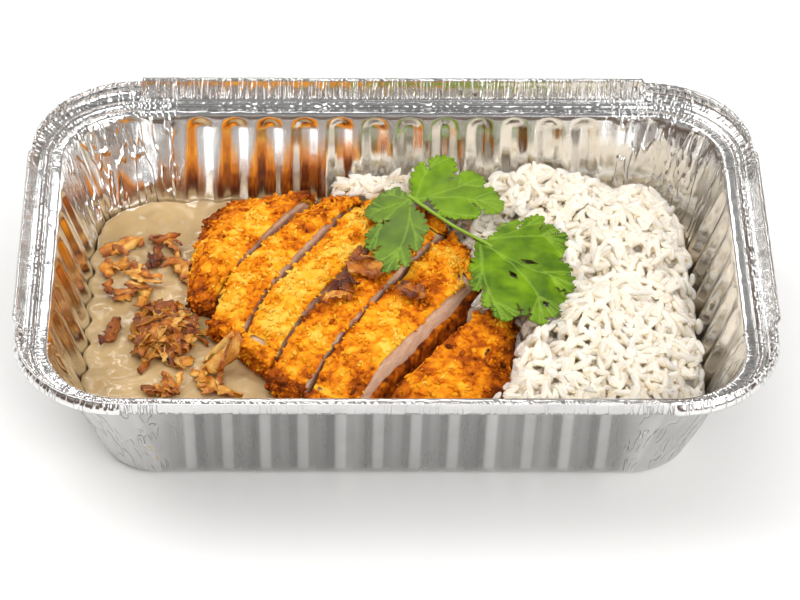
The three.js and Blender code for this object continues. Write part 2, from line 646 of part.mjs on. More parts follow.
/** Solid under the rice's surface, over more than the rice's part of the tray. */
function riceSurface() {
  const [toX, toY] = [TRAY.mouthHalfLength + RICE.grid, TRAY.mouthHalfWidth + RICE.grid];
  const [fromX, fromY, low] = [DIVIDE.backX - RICE.grid, -toY, -RICE.grid];
  const columns = Math.round((toX - fromX) / RICE.grid);
  const rows = Math.round((toY - fromY) / RICE.grid);
  const coordinates = [];
  const corners = [];
  const index = (column, row, layer) => layer * (columns + 1) * (rows + 1) + row * (columns + 1) + column;
  for (const layer of [0, 1]) {
    for (let row = 0; row <= rows; row += 1) {
      for (let column = 0; column <= columns; column += 1) {
        const x = lerp(fromX, toX, column / columns);
        const y = lerp(fromY, toY, row / rows);
        coordinates.push(x, y, layer === 0 ? low : riceHeight(x, y));
      }
    }
  }
  const quad = (a, b, c, d) => corners.push(a, b, c, a, c, d);
  const wall = ([columnA, rowA], [columnB, rowB]) => quad(
    index(columnA, rowA, 0), index(columnB, rowB, 0), index(columnB, rowB, 1), index(columnA, rowA, 1),
  );
  for (let row = 0; row < rows; row += 1) {
    for (let column = 0; column < columns; column += 1) {
      const square = [[0, 0], [1, 0], [1, 1], [0, 1]].map(([right, up]) => [column + right, row + up]);
      quad(...square.map(([c, r]) => index(c, r, 1)));
      quad(...square.map(([c, r]) => index(c, r, 0)).reverse());
    }
  }
  for (let column = 0; column < columns; column += 1) {
    wall([column, 0], [column + 1, 0]);
    wall([column + 1, rows], [column, rows]);
  }
  for (let row = 0; row < rows; row += 1) {
    wall([0, row + 1], [0, row]);
    wall([columns, row], [columns, row + 1]);
  }
  return toSolid(indexedGeometry(coordinates, corners));
}

/** One grain, a long facetted seed lying along +X. */
function grain(length, radius) {
  return new THREE.IcosahedronGeometry(1, 0).scale(length / 2, radius, radius * 0.9);
}

/** Whether a grain may lie at a place: on the rice, clear of the slices and of the tray's corners. */
function grainFits(x, y, limits) {
  const cornerX = Math.max(0, x - limits.halfLength + limits.radius);
  const cornerY = Math.max(0, Math.abs(y) - limits.halfWidth + limits.radius);
  const clearOfCorner = Math.hypot(cornerX, cornerY) < limits.radius - RICE.grainMargin;
  const away = Math.min(...SLICES.map((slice) => outsideSlice(slice, x, y)));
  return clearOfCorner && x > divideAt(y) + RICE.grainMargin && away > RICE.grainLength / 2;
}

/** Whole grains lying on the rice, spread evenly over it by a plastic-ratio sequence. */
function looseGrains() {
  const random = randomSource(41);
  const limits = insideAt(RICE.crown);
  const [reachX, reachY] = [limits.halfLength - RICE.grainMargin, limits.halfWidth - RICE.grainMargin];
  const grains = [];
  for (let tried = 0; grains.length < RICE.grains; tried += 1) {
    const x = lerp(divideAt(limits.halfWidth), reachX, (tried / PLASTIC_RATIO) % 1);
    const y = lerp(-reachY, reachY, (tried / PLASTIC_RATIO ** 2) % 1);
    if (!grainFits(x, y, limits)) {
      continue;
    }
    const length = RICE.grainLength * lerp(0.86, 1.14, random());
    const shape = grain(length, RICE.grainRadius * lerp(0.9, 1.12, random()));
    const slope = Math.atan2(riceHeight(x + 2, y) - riceHeight(x - 2, y), 4);
    const yaw = degToRad(180 * random());
    shape.rotateY(-slope * Math.cos(yaw) - RICE.grainTilt * (random() - 0.5)).rotateZ(yaw);
    shape.translate(x, y, riceHeight(x, y) + RICE.grainProud * (1 + random()));
    grains.push(toSolid(shape));
  }
  return grains;
}

/** The rice: a lumpy core with whole grains lying on it. */
function riceHeap(sliceBeds) {
  const core = cavity(TRAY.ledgeHeight).intersect(riceSurface()).intersect(sideBlock(1));
  let heap = wasm.Manifold.union([core, ...looseGrains()]).intersect(cavity(TRAY.ledgeHeight));
  sliceBeds.forEach((bed) => {
    heap = heap.subtract(bed);
  });
  return toGeometry(largestBody(heap));
}

// ---------------------------------------------------------------- sauce

/** The pool of sauce, level on top, with the slices' beds pressed into it. */
function creamSauce(sliceBeds) {
  let pool = cavity(SAUCE.level).intersect(sideBlock(-1));
  sliceBeds.forEach((bed) => {
    pool = pool.subtract(bed);
  });
  return toGeometry(largestBody(pool));
}

// ---------------------------------------------------------------- fried onion

/** One shred: a bent, twisted strip between two ends. */
function onionShred({ ends, width, bend = 0, arch = 1, twist = 0, tip = 0, base = SAUCE.level + GAP }) {
  const [fromX, fromY, toX, toY] = ends;
  const forward = new THREE.Vector3(toX - fromX, toY - fromY, 0).normalize();
  const sideways = new THREE.Vector3(-forward.y, forward.x, 0);
  const stations = [0, 0.2, 0.5, 0.8, 1];
  const rings = stations.map((along) => {
    const bow = Math.sin(Math.PI * along);
    const half = (width / 2) * (0.55 + 0.45 * bow);
    const roll = twist * (along - 0.5);
    const lift = half * Math.abs(Math.sin(roll)) + SHRED_THICKNESS / 2 + 0.05;
    const middle = new THREE.Vector3(lerp(fromX, toX, along), lerp(fromY, toY, along), base + lift);
    middle.addScaledVector(sideways, bend * bow);
    middle.z += arch * bow * 0.8 + tip * along;
    const across = sideways.clone().multiplyScalar(Math.cos(roll)).setZ(Math.sin(roll));
    const up = sideways.clone().multiplyScalar(-Math.sin(roll)).setZ(Math.cos(roll));
    return numbered([[-1, -1], [1, -1], [1, 1], [-1, 1]].map(([side, level]) => middle.clone()
      .addScaledVector(across, side * half)
      .addScaledVector(up, (level * SHRED_THICKNESS) / 2)));
  });
  return skin(rings);
}

/** The heap of shreds: a low mound with shreds lying over it every way. */
function onionHeap() {
  const random = randomSource(7);
  const floor = SAUCE.level + GAP;
  const mound = new THREE.SphereGeometry(1, 10, 6);
  mound.scale(HEAP.halfLength * HEAP.mound, HEAP.halfWidth * HEAP.mound, HEAP.height);
  mound.translate(HEAP.x, HEAP.y, floor);
  const shreds = Array.from({ length: HEAP.shreds }, (_, i) => {
    const around = i * GOLDEN_ANGLE;
    const out = Math.sqrt((i + 0.5) / HEAP.shreds) * HEAP.spread;
    const x = HEAP.x + Math.cos(around) * out * HEAP.halfLength;
    const y = HEAP.y + Math.sin(around) * out * HEAP.halfWidth;
    const heading = around + degToRad(lerp(30, 150, random()));
    const reach = (HEAP.shredLength / 2) * lerp(0.6, 1.1, random());
    const ends = [-reach, reach].flatMap((r) => [x + r * Math.cos(heading), y + r * Math.sin(heading)]);
    const base = floor + 0.72 * HEAP.height * Math.sqrt(1 - out * out);
    return toSolid(onionShred({
      ends,
      width: HEAP.shredWidth * lerp(0.8, 1.3, random()),
      bend: lerp(-1.6, 1.6, random()),
      arch: lerp(0.4, 2, random()),
      twist: lerp(-1, 1, random()),
      tip: lerp(-0.6, 1.2, random()),
      base,
    }));
  });
  const room = 4 * HEAP.halfLength;
  const above = new THREE.BoxGeometry(room, room, room).translate(HEAP.x, HEAP.y, floor + room / 2);
  const heap = wasm.Manifold.union([toSolid(mound), ...shreds]).intersect(toSolid(above));
  return toGeometry(largestBody(heap));
}

// ---------------------------------------------------------------- coriander

/** One leaflet: a thin wavy sheet with a toothed edge, both faces split alike. */
function leaflet({ heart, edge }) {
  const places = edge.map((place) => new THREE.Vector3(...place));
  const curve = new THREE.CatmullRomCurve3(places, true, "catmullrom", 0.4);
  const middle = new THREE.Vector3(...heart);
  const outline = Array.from({ length: LEAF.samples }, (_, i) => {
    const place = curve.getPoint(i / LEAF.samples);
    const notch = i % LEAF.samplesPerTooth === 0 && i > 1 ? LEAF.tooth : 0;
    const inwards = middle.clone().sub(place).setZ(0).normalize();
    return place.addScaledVector(inwards, notch);
  });
  const face = (points, side) => numbered(points
    .map((place) => place.clone().setZ(place.z + (side * LEAF.thickness) / 2)));
  const inner = outline.map((place, i) => {
    const point = middle.clone().lerp(place, LEAF.ring);
    point.z += LEAF.wave * Math.sin((i / LEAF.samples) * 2 * Math.PI * LEAF.waves);
    return point;
  });
  return skin([face(inner, 1), face(outline, 1), face(outline, -1), face(inner, -1)]);
}

/** The sprig: a thin bending stem with three leaflets grown on. */
function corianderSprig() {
  const path = new THREE.CatmullRomCurve3(STEM_PATH.map((place) => new THREE.Vector3(...place)));
  const section = new THREE.Shape(Array.from({ length: STEM.sides }, (_, side) => {
    const turn = (side / STEM.sides) * 2 * Math.PI;
    return new THREE.Vector2(Math.cos(turn) * STEM.radius, Math.sin(turn) * STEM.radius);
  }));
  const sweep = { extrudePath: path, steps: STEM.steps, bevelEnabled: false };
  const stem = new THREE.ExtrudeGeometry(section, sweep);
  return toGeometry(wasm.Manifold.union([toSolid(stem), ...LEAVES.map((leaf) => toSolid(leaflet(leaf)))]));
}

// ---------------------------------------------------------------- assembly

const beds = SLICES.map((slice) => sliceForm(slice, GAP));

const group = new THREE.Group();
group.add(piece("foil_tray", foilTray(), FINISH.foil));
group.add(piece("cream_sauce", creamSauce(beds), FINISH.sauce));
group.add(piece("rice_heap", riceHeap(beds), FINISH.rice));
SLICES.forEach((slice, i) => {
  group.add(piece(`crumb_coat_${i + 1}`, crumbCrust(slice, 11 + i), FINISH.crust));
  group.add(piece(`chicken_meat_${i + 1}`, chickenMeat(slice), FINISH.meat));
});
group.add(piece("fried_onion_heap", onionHeap(), FINISH.onion));
ONION_SHREDS.forEach((shred, i) => {
  group.add(piece(`fried_onion_${i + 1}`, onionShred(shred), FINISH.onion));
});
group.add(piece("coriander_sprig", corianderSprig(), FINISH.leaf));

export default group;
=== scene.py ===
"""A takeaway meal in a foil tray: cream sauce, a breaded chicken cutlet cut in slices, white rice,
crisp fried onion and a sprig of coriander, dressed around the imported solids.

Sizes are in millimetres and become metres where a mesh is made. +X runs along the tray towards
the rice, -Y is the long side nearest the eater, and +Z is up.
"""

import itertools
import logging
import math
from collections.abc import Iterable, Sequence
from dataclasses import dataclass, field
from enum import Enum

import bpy
import numpy as np
from mathutils import Matrix, Vector
from mathutils.bvhtree import BVHTree
from mathutils.geometry import delaunay_2d_cdt


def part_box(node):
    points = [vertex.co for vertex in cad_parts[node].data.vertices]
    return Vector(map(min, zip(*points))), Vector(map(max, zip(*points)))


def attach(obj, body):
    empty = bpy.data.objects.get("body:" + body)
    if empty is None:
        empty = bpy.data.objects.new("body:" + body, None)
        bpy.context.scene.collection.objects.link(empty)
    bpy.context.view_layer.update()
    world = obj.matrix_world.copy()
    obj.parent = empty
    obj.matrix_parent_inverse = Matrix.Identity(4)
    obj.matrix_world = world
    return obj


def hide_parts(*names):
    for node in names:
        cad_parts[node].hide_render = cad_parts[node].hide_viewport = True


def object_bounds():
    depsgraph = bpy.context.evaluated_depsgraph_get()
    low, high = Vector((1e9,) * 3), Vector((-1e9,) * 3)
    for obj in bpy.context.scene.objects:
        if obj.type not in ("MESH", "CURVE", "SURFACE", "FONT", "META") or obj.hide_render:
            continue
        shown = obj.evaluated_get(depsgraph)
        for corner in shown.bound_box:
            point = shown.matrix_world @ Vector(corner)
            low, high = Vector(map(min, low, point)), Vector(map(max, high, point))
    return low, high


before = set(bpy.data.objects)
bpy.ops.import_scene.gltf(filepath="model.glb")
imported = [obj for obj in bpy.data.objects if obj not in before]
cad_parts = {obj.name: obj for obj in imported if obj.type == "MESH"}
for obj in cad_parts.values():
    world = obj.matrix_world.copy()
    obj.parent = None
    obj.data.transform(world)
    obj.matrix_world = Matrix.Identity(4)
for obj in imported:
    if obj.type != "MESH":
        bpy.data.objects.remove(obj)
CAD_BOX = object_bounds()
LOG = logging.getLogger("foil_tray_meal")
MM = 0.001

Array = np.ndarray
Colour = tuple[float, float, float]


# ---------------------------------------------------------------- random fields


def scattered(cells: Array, seed: int) -> Array:
    """Repeatable random numbers from 0 to 1, one for each row of whole numbers.

    Args:
        cells: Whole numbers, one row for each cell.
        seed: Number that picks one of many such fields.

    Returns:
        One number for each row.
    """
    mixed = np.full(len(cells), seed * 7919 + 17, np.uint64)
    for column in cells.astype(np.int64).astype(np.uint64).T:
        mixed = (mixed ^ column) * np.uint64(0x9E3779B97F4A7C15)
        mixed ^= mixed >> np.uint64(31)
    return (mixed >> np.uint64(11)).astype(float) / float(1 << 53)


def swell(points: Array, size: float | Sequence[float], seed: int) -> Array:
    """Smooth random field.

    Args:
        points: Places, one row each, of two or three numbers.
        size: How wide its waves are, one number or one for each direction.
        seed: Number that picks the field.

    Returns:
        One number from -1 to 1 for each place.
    """
    place = points / np.asarray(size, float)
    cell = np.floor(place)
    part = place - cell
    ease = part * part * (3 - 2 * part)
    total = np.zeros(len(points))
    for corner in itertools.product((0, 1), repeat=points.shape[1]):
        weight = np.prod(np.where(corner, ease, 1 - ease), axis=1)
        total += weight * scattered(cell + corner, seed)
    return 2 * total - 1


def crumble(points: Array, size: float, seed: int) -> tuple[Array, Array]:
    """Field of randomly placed lumps, for crumbs.

    Args:
        points: Places, one row each, of three numbers.
        size: How far apart the lumps' middles are.
        seed: Number that picks the field.

    Returns:
        The distance to the nearest middle as a share of size, and a random number from 0 to 1
        that belongs to that lump, for each place.
    """
    place = points / size
    home = np.floor(place)
    nearest = np.full(len(points), 9.0)
    mark = np.zeros(len(points))
    for step in itertools.product((-1, 0, 1), repeat=3):
        cell = home + step
        middle = cell + np.stack([scattered(cell, seed + axis) for axis in range(3)], axis=1)
        distance = np.linalg.norm(place - middle, axis=1)
        nearer = distance < nearest
        nearest = np.where(nearer, distance, nearest)
        mark = np.where(nearer, scattered(cell, seed + 3), mark)
    return nearest, mark


def eased(value: Array, low: float, high: float) -> Array:
    """Smooth step from 0 at low to 1 at high, which may be the smaller of the two."""
    share = np.clip((value - low) / (high - low), 0, 1)
    return share * share * (3 - 2 * share)


# ---------------------------------------------------------------- meshes


@dataclass
class Skin:
    """Points and faces of a surface, in millimetres, with named numbers for each point.

    Attributes:
        points: One row of three numbers for each point.
        faces: Arrays of point numbers, each array with faces of one size.
        marks: Named arrays with one number, or one row of three, for each point.
    """

    points: Array
    faces: list[Array]
    marks: dict[str, Array] = field(default_factory=dict)

    def edges(self) -> Array:
        """The pairs of points that an edge joins."""
        sides = [
            np.stack([face, np.roll(face, -1, axis=1)], axis=2).reshape(-1, 2)
            for face in self.faces
            if len(face)
        ]
        return np.unique(np.sort(np.concatenate(sides), axis=1), axis=0)

    def normals(self) -> Array:
        """Unit normal at each point."""
        total = np.zeros_like(self.points)
        for face in self.faces:
            if not len(face):
                continue
            corners = self.points[face]
            turn = np.cross(corners[:, 2] - corners[:, 0], corners[:, -1] - corners[:, 1])
            if face.shape[1] == 3:
                turn = np.cross(corners[:, 1] - corners[:, 0], corners[:, 2] - corners[:, 0])
            for column in face.T:
                for axis in range(3):
                    total[:, axis] += np.bincount(column, turn[:, axis], len(self.points))
        return total / np.maximum(np.linalg.norm(total, axis=1, keepdims=True), 1e-12)

    def relax(self, rounds: int, pull: float = 0.5) -> None:
        """Smooth the surface by moving each point towards its neighbours.

        Args:
            rounds: How many times.
            pull: How far towards the neighbours' middle, from 0 to 1.
        """
        pairs = self.edges()
        both = np.concatenate([pairs, pairs[:, ::-1]])
        count = np.maximum(np.bincount(both[:, 0], minlength=len(self.points)), 1)
        for _ in range(rounds):
            for axis in range(3):
                level = self.points[:, axis]
                middle = np.bincount(both[:, 0], level[both[:, 1]], len(level)) / count
                self.points[:, axis] = level + pull * (middle - level)

    def push(self, amount: Array, directions: Array | None = None) -> None:
        """Move each point by an amount along its normal or a given direction."""
        along = self.normals() if directions is None else directions
        self.points = self.points + along * amount[:, None]

    def joined(self, others: Iterable["Skin"]) -> "Skin":
        """This surface and others as one, keeping the numbers that all of them have."""
        skins = [self, *others]
        starts = np.cumsum([0] + [len(skin.points) for skin in skins])
        faces = [face + start for skin, start in zip(skins, starts) for face in skin.faces if len(face)]
        shared = set.intersection(*(set(skin.marks) for skin in skins))
        marks = {name: np.concatenate([skin.marks[name] for skin in skins]) for name in sorted(shared)}
        return Skin(np.concatenate([skin.points for skin in skins]), faces, marks)


def skin_of(source: bpy.types.Object | bpy.types.Mesh) -> Skin:
    """Points and faces of an object or a mesh.

    Args:
        source: The object or mesh to read.

    Returns:
        Its surface, in millimetres.
    """
    mesh = source.data if isinstance(source, bpy.types.Object) else source
    points = np.zeros(len(mesh.vertices) * 3, np.float32)
    mesh.vertices.foreach_get("co", points)
    corners = np.zeros(len(mesh.loops), np.int32)
    mesh.loops.foreach_get("vertex_index", corners)
    totals = np.zeros(len(mesh.polygons), np.int32)
    mesh.polygons.foreach_get("loop_total", totals)
    starts = np.zeros(len(mesh.polygons), np.int32)
    mesh.polygons.foreach_get("loop_start", starts)
    faces = [
        corners[starts[totals == count][:, None] + np.arange(count)] for count in np.unique(totals)
    ]
    return Skin(points.reshape(-1, 3).astype(float) / MM, faces)


def mesh_of(name: str, skin: Skin) -> bpy.types.Mesh:
    """Blender mesh of a surface, with its numbers as attributes.

    Args:
        name: The mesh's name.
        skin: The surface, in millimetres.

    Returns:
        The mesh, in metres and smooth shaded.
    """
    mesh = bpy.data.meshes.new(name)
    faces = [corner for face in skin.faces for corner in face.tolist()]
    mesh.from_pydata((skin.points * MM).tolist(), [], faces)
    for mark, values in skin.marks.items():
        kind, key = ("FLOAT", "value") if values.ndim == 1 else ("FLOAT_VECTOR", "vector")
        layer = mesh.attributes.new(mark, kind, "POINT")
        layer.data.foreach_set(key, values.astype(np.float32).ravel())
    mesh.shade_smooth()
    mesh.update()
    return mesh


def fine_skin(node: str, voxel: float) -> Skin:
    """Evenly divided copy of a CAD node's surface.

    Args:
        node: The node's name.
        voxel: Edge length of its faces, in millimetres.

    Returns:
        The copy's surface.
    """
    copy = bpy.data.objects.new("fine_copy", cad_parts[node].data.copy())
    bpy.context.scene.collection.objects.link(copy)
    remesh = copy.modifiers.new("fine", "REMESH")
    remesh.mode = "VOXEL"
    remesh.voxel_size = voxel * MM
    graph = bpy.context.evaluated_depsgraph_get()
    mesh = bpy.data.meshes.new_from_object(copy.evaluated_get(graph))
    skin = skin_of(mesh)
    bpy.data.objects.remove(copy)
    bpy.data.meshes.remove(mesh)
    return skin


def tree_of(nodes: Iterable[str]) -> BVHTree:
    """Search tree over the surfaces of CAD nodes, in millimetres."""
    skins = [skin_of(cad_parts[node]) for node in nodes]
    whole = skins[0].joined(skins[1:])
    return BVHTree.FromPolygons(whole.points.tolist(), [f for face in whole.faces for f in face.tolist()])


def heights_over(tree: BVHTree, x: Array, y: Array, top: float = 60.0) -> Array:
    """Height of the first surface under each place, seen from above.

    Args:
        tree: Search tree of the surface.
        x: Places along X.
        y: Places along Y.
        top: Height to look down from.

    Returns:
        The heights, and nan where there is nothing.
    """
    down = Vector((0, 0, -1))
    found = [tree.ray_cast(Vector((px, py, top)), down)[0] for px, py in zip(x.ravel(), y.ravel())]
    return np.array([np.nan if hit is None else hit.z for hit in found]).reshape(x.shape)


def add_piece(
    name: str, skin: Skin, finish: "Finish", replaced: Sequence[str] = ()
) -> bpy.types.Object:
    """Object of a surface, dressed and riding on the tray.

    Args:
        name: The piece's name.
        skin: Its surface, in millimetres.
        finish: What it is dressed in.
        replaced: CAD nodes that it stands for.

    Returns:
        The new object.
    """
    piece = bpy.data.objects.new(name, mesh_of(name, skin))
    bpy.context.scene.collection.objects.link(piece)
    piece.data.materials.append(finish.material())
    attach(piece, "root")
    if replaced:
        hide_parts(*replaced)
    triangles = sum(len(face) * (face.shape[1] - 2) for face in skin.faces if len(face))
    LOG.info("%s: %d points, %d triangles", name, len(skin.points), triangles)
    return piece


# ---------------------------------------------------------------- shader trees


class Value:
    """A number socket of a shader tree that is worked with like a number."""

    def __init__(self, shader: "Shader", socket: bpy.types.NodeSocket) -> None:
        """Wrap a socket of a shader."""
        self.shader = shader
        self.socket = socket

    def _math(self, operation: str, *others: "Value | float", first: bool = True) -> "Value":
        """Math node with this value first, or last where first is false."""
        values = [self, *others] if first else [*others, self]
        node = self.shader.node("ShaderNodeMath", {"operation": operation}, dict(enumerate(values)))
        return Value(self.shader, node.outputs[0])

    def __add__(self, other: "Value | float") -> "Value":
        """Sum."""
        return self._math("ADD", other)

    __radd__ = __add__

    def __sub__(self, other: "Value | float") -> "Value":
        """Difference."""
        return self._math("SUBTRACT", other)

    def __rsub__(self, other: "Value | float") -> "Value":
        """Difference with this value taken away."""
        return self._math("SUBTRACT", other, first=False)

    def __mul__(self, other: "Value | float") -> "Value":
        """Product."""
        return self._math("MULTIPLY", other)

    __rmul__ = __mul__

    def above(self, low: float, high: float) -> "Value":
        """Smooth step from 0 at low to 1 at high."""
        settings = {"interpolation_type": "SMOOTHSTEP"}
        sockets = {"Value": self, "From Min": low, "From Max": high}
        node = self.shader.node("ShaderNodeMapRange", settings, sockets)
        return Value(self.shader, node.outputs["Result"])

    def below(self, low: float, high: float) -> "Value":
        """Smooth step from 1 at low to 0 at high."""
        return 1 - self.above(low, high)


class Shader:
    """Node tree of one material that ends in one surface shader."""

    def __init__(self, name: str, **constants: float | Colour) -> None:
        """Start a material.

        Args:
            name: The material's name.
            constants: Values of the surface shader that are the same all over, by socket name
                with underscores for spaces.
        """
        self.material = bpy.data.materials.new(name)
        self.material.use_nodes = True
        self.tree = self.material.node_tree
        self.surface = self.tree.nodes["Principled BSDF"]
        for socket, constant in constants.items():
            value = (*constant, 1.0) if "Color" in socket else constant
            self.surface.inputs[socket.replace("_", " ")].default_value = value

    def node(
        self, kind: str, settings: dict[str, object], sockets: dict[str | int, object]
    ) -> bpy.types.Node:
        """Add a node.

        Args:
            kind: The node's type.
            settings: Its own settings, which are set first. A ramp's stops go under "stops" as
                pairs of a place and a colour.
            sockets: Values or links of its input sockets, by name or number.

        Returns:
            The new node.
        """
        node = self.tree.nodes.new(kind)
        for name, setting in settings.items():
            if name == "stops":
                self._set_stops(node.color_ramp.elements, setting)
            else:
                setattr(node, name, setting)
        for name, given in sockets.items():
            self.feed(node.inputs[name], given)
        return node

    @staticmethod
    def _set_stops(elements: bpy.types.ColorRampElements, stops: Sequence[tuple[float, Colour]]) -> None:
        """Set the stops of a ramp."""
        for _ in range(len(stops) - len(elements)):
            elements.new(0.5)
        for element, (place, colour) in zip(elements, stops):
            element.position = place
            element.color = (*colour, 1.0)

    def feed(self, socket: bpy.types.NodeSocket, given: object) -> None:
        """Give a socket a value, a colour or a link."""
        if isinstance(given, Value):
            self.tree.links.new(given.socket, socket)
        elif isinstance(given, bpy.types.NodeSocket):
            self.tree.links.new(given, socket)
        elif socket.type == "RGBA":
            socket.default_value = (*given, 1.0)
        else:
            socket.default_value = given

    def set(self, socket: str, given: object) -> None:
        """Feed a socket of the surface shader."""
        self.feed(self.surface.inputs[socket], given)

    def mark(self, name: str) -> Value:
        """A number that the mesh holds for each point."""
        return Value(self, self.node("ShaderNodeAttribute", {"attribute_name": name}, {}).outputs["Fac"])

    def place(self, stretch: Sequence[float] = (1, 1, 1)) -> bpy.types.NodeSocket:
        """Place in the object in millimetres, stretched by a factor along each axis."""
        place = self.node("ShaderNodeTexCoord", {}, {}).outputs["Object"]
        return self._stretched(place, [factor / MM for factor in stretch])

    def layer(self, name: str, stretch: Sequence[float]) -> bpy.types.NodeSocket:
        """Place that the mesh holds for each point, in millimetres, stretched by factors."""
        layer = self.node("ShaderNodeAttribute", {"attribute_name": name}, {}).outputs["Vector"]
        return self._stretched(layer, stretch)

    def _stretched(self, place: bpy.types.NodeSocket, by: Sequence[float]) -> bpy.types.NodeSocket:
        """A place multiplied by a factor along each axis."""
        return self.node("ShaderNodeVectorMath", {"operation": "MULTIPLY"}, {0: place, 1: by}).outputs[0]

    def noise(self, at: bpy.types.NodeSocket, size: float, detail: float = 2.0, rough: float = 0.5) -> Value:
        """Noise with features of a size in millimetres, about 0.5 on average."""
        sockets = {"Vector": at, "Scale": 1 / size, "Detail": detail, "Roughness": rough}
        return Value(self, self.node("ShaderNodeTexNoise", {}, sockets).outputs["Fac"])

    def cells(self, at: bpy.types.NodeSocket, size: float) -> Value:
        """Distance to the middle of random cells of a size in millimetres."""
        node = self.node("ShaderNodeTexVoronoi", {}, {"Vector": at, "Scale": 1 / size})
        return Value(self, node.outputs["Distance"])

    def ramp(self, value: Value, stops: Sequence[tuple[float, Colour]]) -> bpy.types.NodeSocket:
        """Colour from a ramp of stops."""
        return self.node("ShaderNodeValToRGB", {"stops": stops}, {"Fac": value}).outputs["Color"]

    def mix(self, share: Value, low: object, high: object) -> bpy.types.NodeSocket:
        """Mix of two colours or colour links by a share."""
        return self.node("ShaderNodeMix", {"data_type": "RGBA"}, {0: share, 6: low, 7: high}).outputs[2]

    def bump(
        self, height: Value, depth: float, strength: float = 1.0, under: object = None
    ) -> bpy.types.NodeSocket:
        """Bumps of a depth in millimetres, over other bumps if they are given."""
        sockets = {"Height": height, "Distance": depth * MM, "Strength": strength}
        if under is not None:
            sockets["Normal"] = under
        return self.node("ShaderNodeBump", {}, sockets).outputs["Normal"]


class SkyShader(Shader):
    """Node tree of a sky that ends in its background."""

    def __init__(self, name: str, **constants: float | Colour) -> None:
        """Start a sky, with the background's constants by socket name."""
        self.world = bpy.data.worlds.new(name)
        self.world.use_nodes = True
        self.tree = self.world.node_tree
        self.surface = self.tree.nodes["Background"]
        for socket, constant in constants.items():
            self.surface.inputs[socket].default_value = constant


class Finish:
    """What a piece is dressed in. A kind of finish makes its material once."""

    def build(self) -> bpy.types.Material:
        """Make the material."""
        raise NotImplementedError

    def material(self) -> bpy.types.Material:
        """The finish's material, made at the first call."""
        known = bpy.data.materials.get(type(self).__name__)
        return known or self.build()


@dataclass(frozen=True)
class BrightFoil(Finish):
    """Pressed aluminium foil: bright, with fine press lines and, at the corners, crinkles. Its outside is
    duller and darker: partly the foil's dull side, partly painted shade.
    """

    tint: Colour = (0.90, 0.895, 0.89)
    cloudy: Colour = (0.79, 0.785, 0.78)
    # Dull outside colour, dark enough to stand for painted shade
    matt: Colour = (0.28, 0.28, 0.275)
    roughness: float = 0.12
    press_line: float = 0.7
    crinkle: float = 6.5
    pleat: float = 1.5
    crinkle_width: float = 0.045  # share of the waves' height that a fold takes up
    pleat_width: float = 0.1

    def build(self) -> bpy.types.Material:
        """Make the material."""
        shader = Shader("BrightFoil", Metallic=1.0)
        patches = shader.noise(shader.place(), 14.0, 3.0)
        bright = shader.mix(patches.above(0.4, 0.7), self.tint, self.cloudy)
        # Outside: the foil's dull side, darkened with painted shade and lit by painted highlights on the flutes
        shader.set("Base Color", shader.mix(shader.mark("matt"), bright, self.matt))
        lines = shader.noise(shader.layer("sheet", (1, 1, 0.07)), self.press_line, 3.0, 0.6)
        crumpled = shader.noise(shader.layer("sheet", (1, 1, 0.3)), self.crinkle, 2.0, 0.6)
        crinkles = self._folds(crumpled, self.crinkle_width)
        pressed = shader.noise(shader.layer("sheet", (1, 1, 0.1)), self.pleat, 1.0)
        pleats = self._folds(pressed, self.pleat_width)
        shader.set("Roughness", self.roughness + 0.16 * lines * patches + 0.12 * shader.mark("matt"))
        grain = shader.bump(lines, 0.05, 0.6)
        gathered = shader.bump(pleats * shader.mark("gather"), 0.5, 1.0, grain)
        shader.set("Normal", shader.bump(crinkles * shader.mark("crease"), 0.4, 1.0, gathered))
        return shader.material

    @staticmethod
    def _folds(waves: Value, width: float) -> Value:
        """Thin sharp folds, where the waves pass their middle height."""
        return waves.above(0.5 - width, 0.5) * waves.below(0.5, 0.5 + width)


@dataclass(frozen=True)
class CreamSauce(Finish):
    """Glossy cream sauce with fine specks of pepper and herb."""

    cream: Colour = (0.58, 0.405, 0.20)
    deep: Colour = (0.47, 0.315, 0.14)
    speck: Colour = (0.10, 0.06, 0.015)
    speck_spacing: float = 4.2

    def build(self) -> bpy.types.Material:
        """Make the material."""
        shader = Shader(
            "CreamSauce", Subsurface_Weight=0.25, Subsurface_Scale=0.003, Coat_Roughness=0.03, IOR=1.45,
        )
        shader.surface.inputs["Subsurface Radius"].default_value = (1.0, 0.7, 0.35)
        place = shader.place()
        clouds = shader.noise(place, 22.0, 3.0)
        base = shader.mix(clouds.above(0.42, 0.68), self.cream, self.deep)
        speck = shader.cells(place, self.speck_spacing).below(0.05, 0.085)
        thin = shader.noise(place, 9.0, 1.0).above(0.45, 0.6)
        shader.set("Base Color", shader.mix(speck * thin, base, self.speck))
        ripple = shader.noise(place, 2.6, 2.0)
        shader.set("Roughness", 0.08 + 0.14 * clouds)
        shader.set("Coat Weight", 0.5 * clouds.above(0.3, 0.6))
        dimples = shader.bump(shader.noise(place, 6.0, 1.0), 1.8, 0.9)
        shader.set("Normal", shader.bump(ripple, 0.3, 0.6, dimples))
        return shader.material


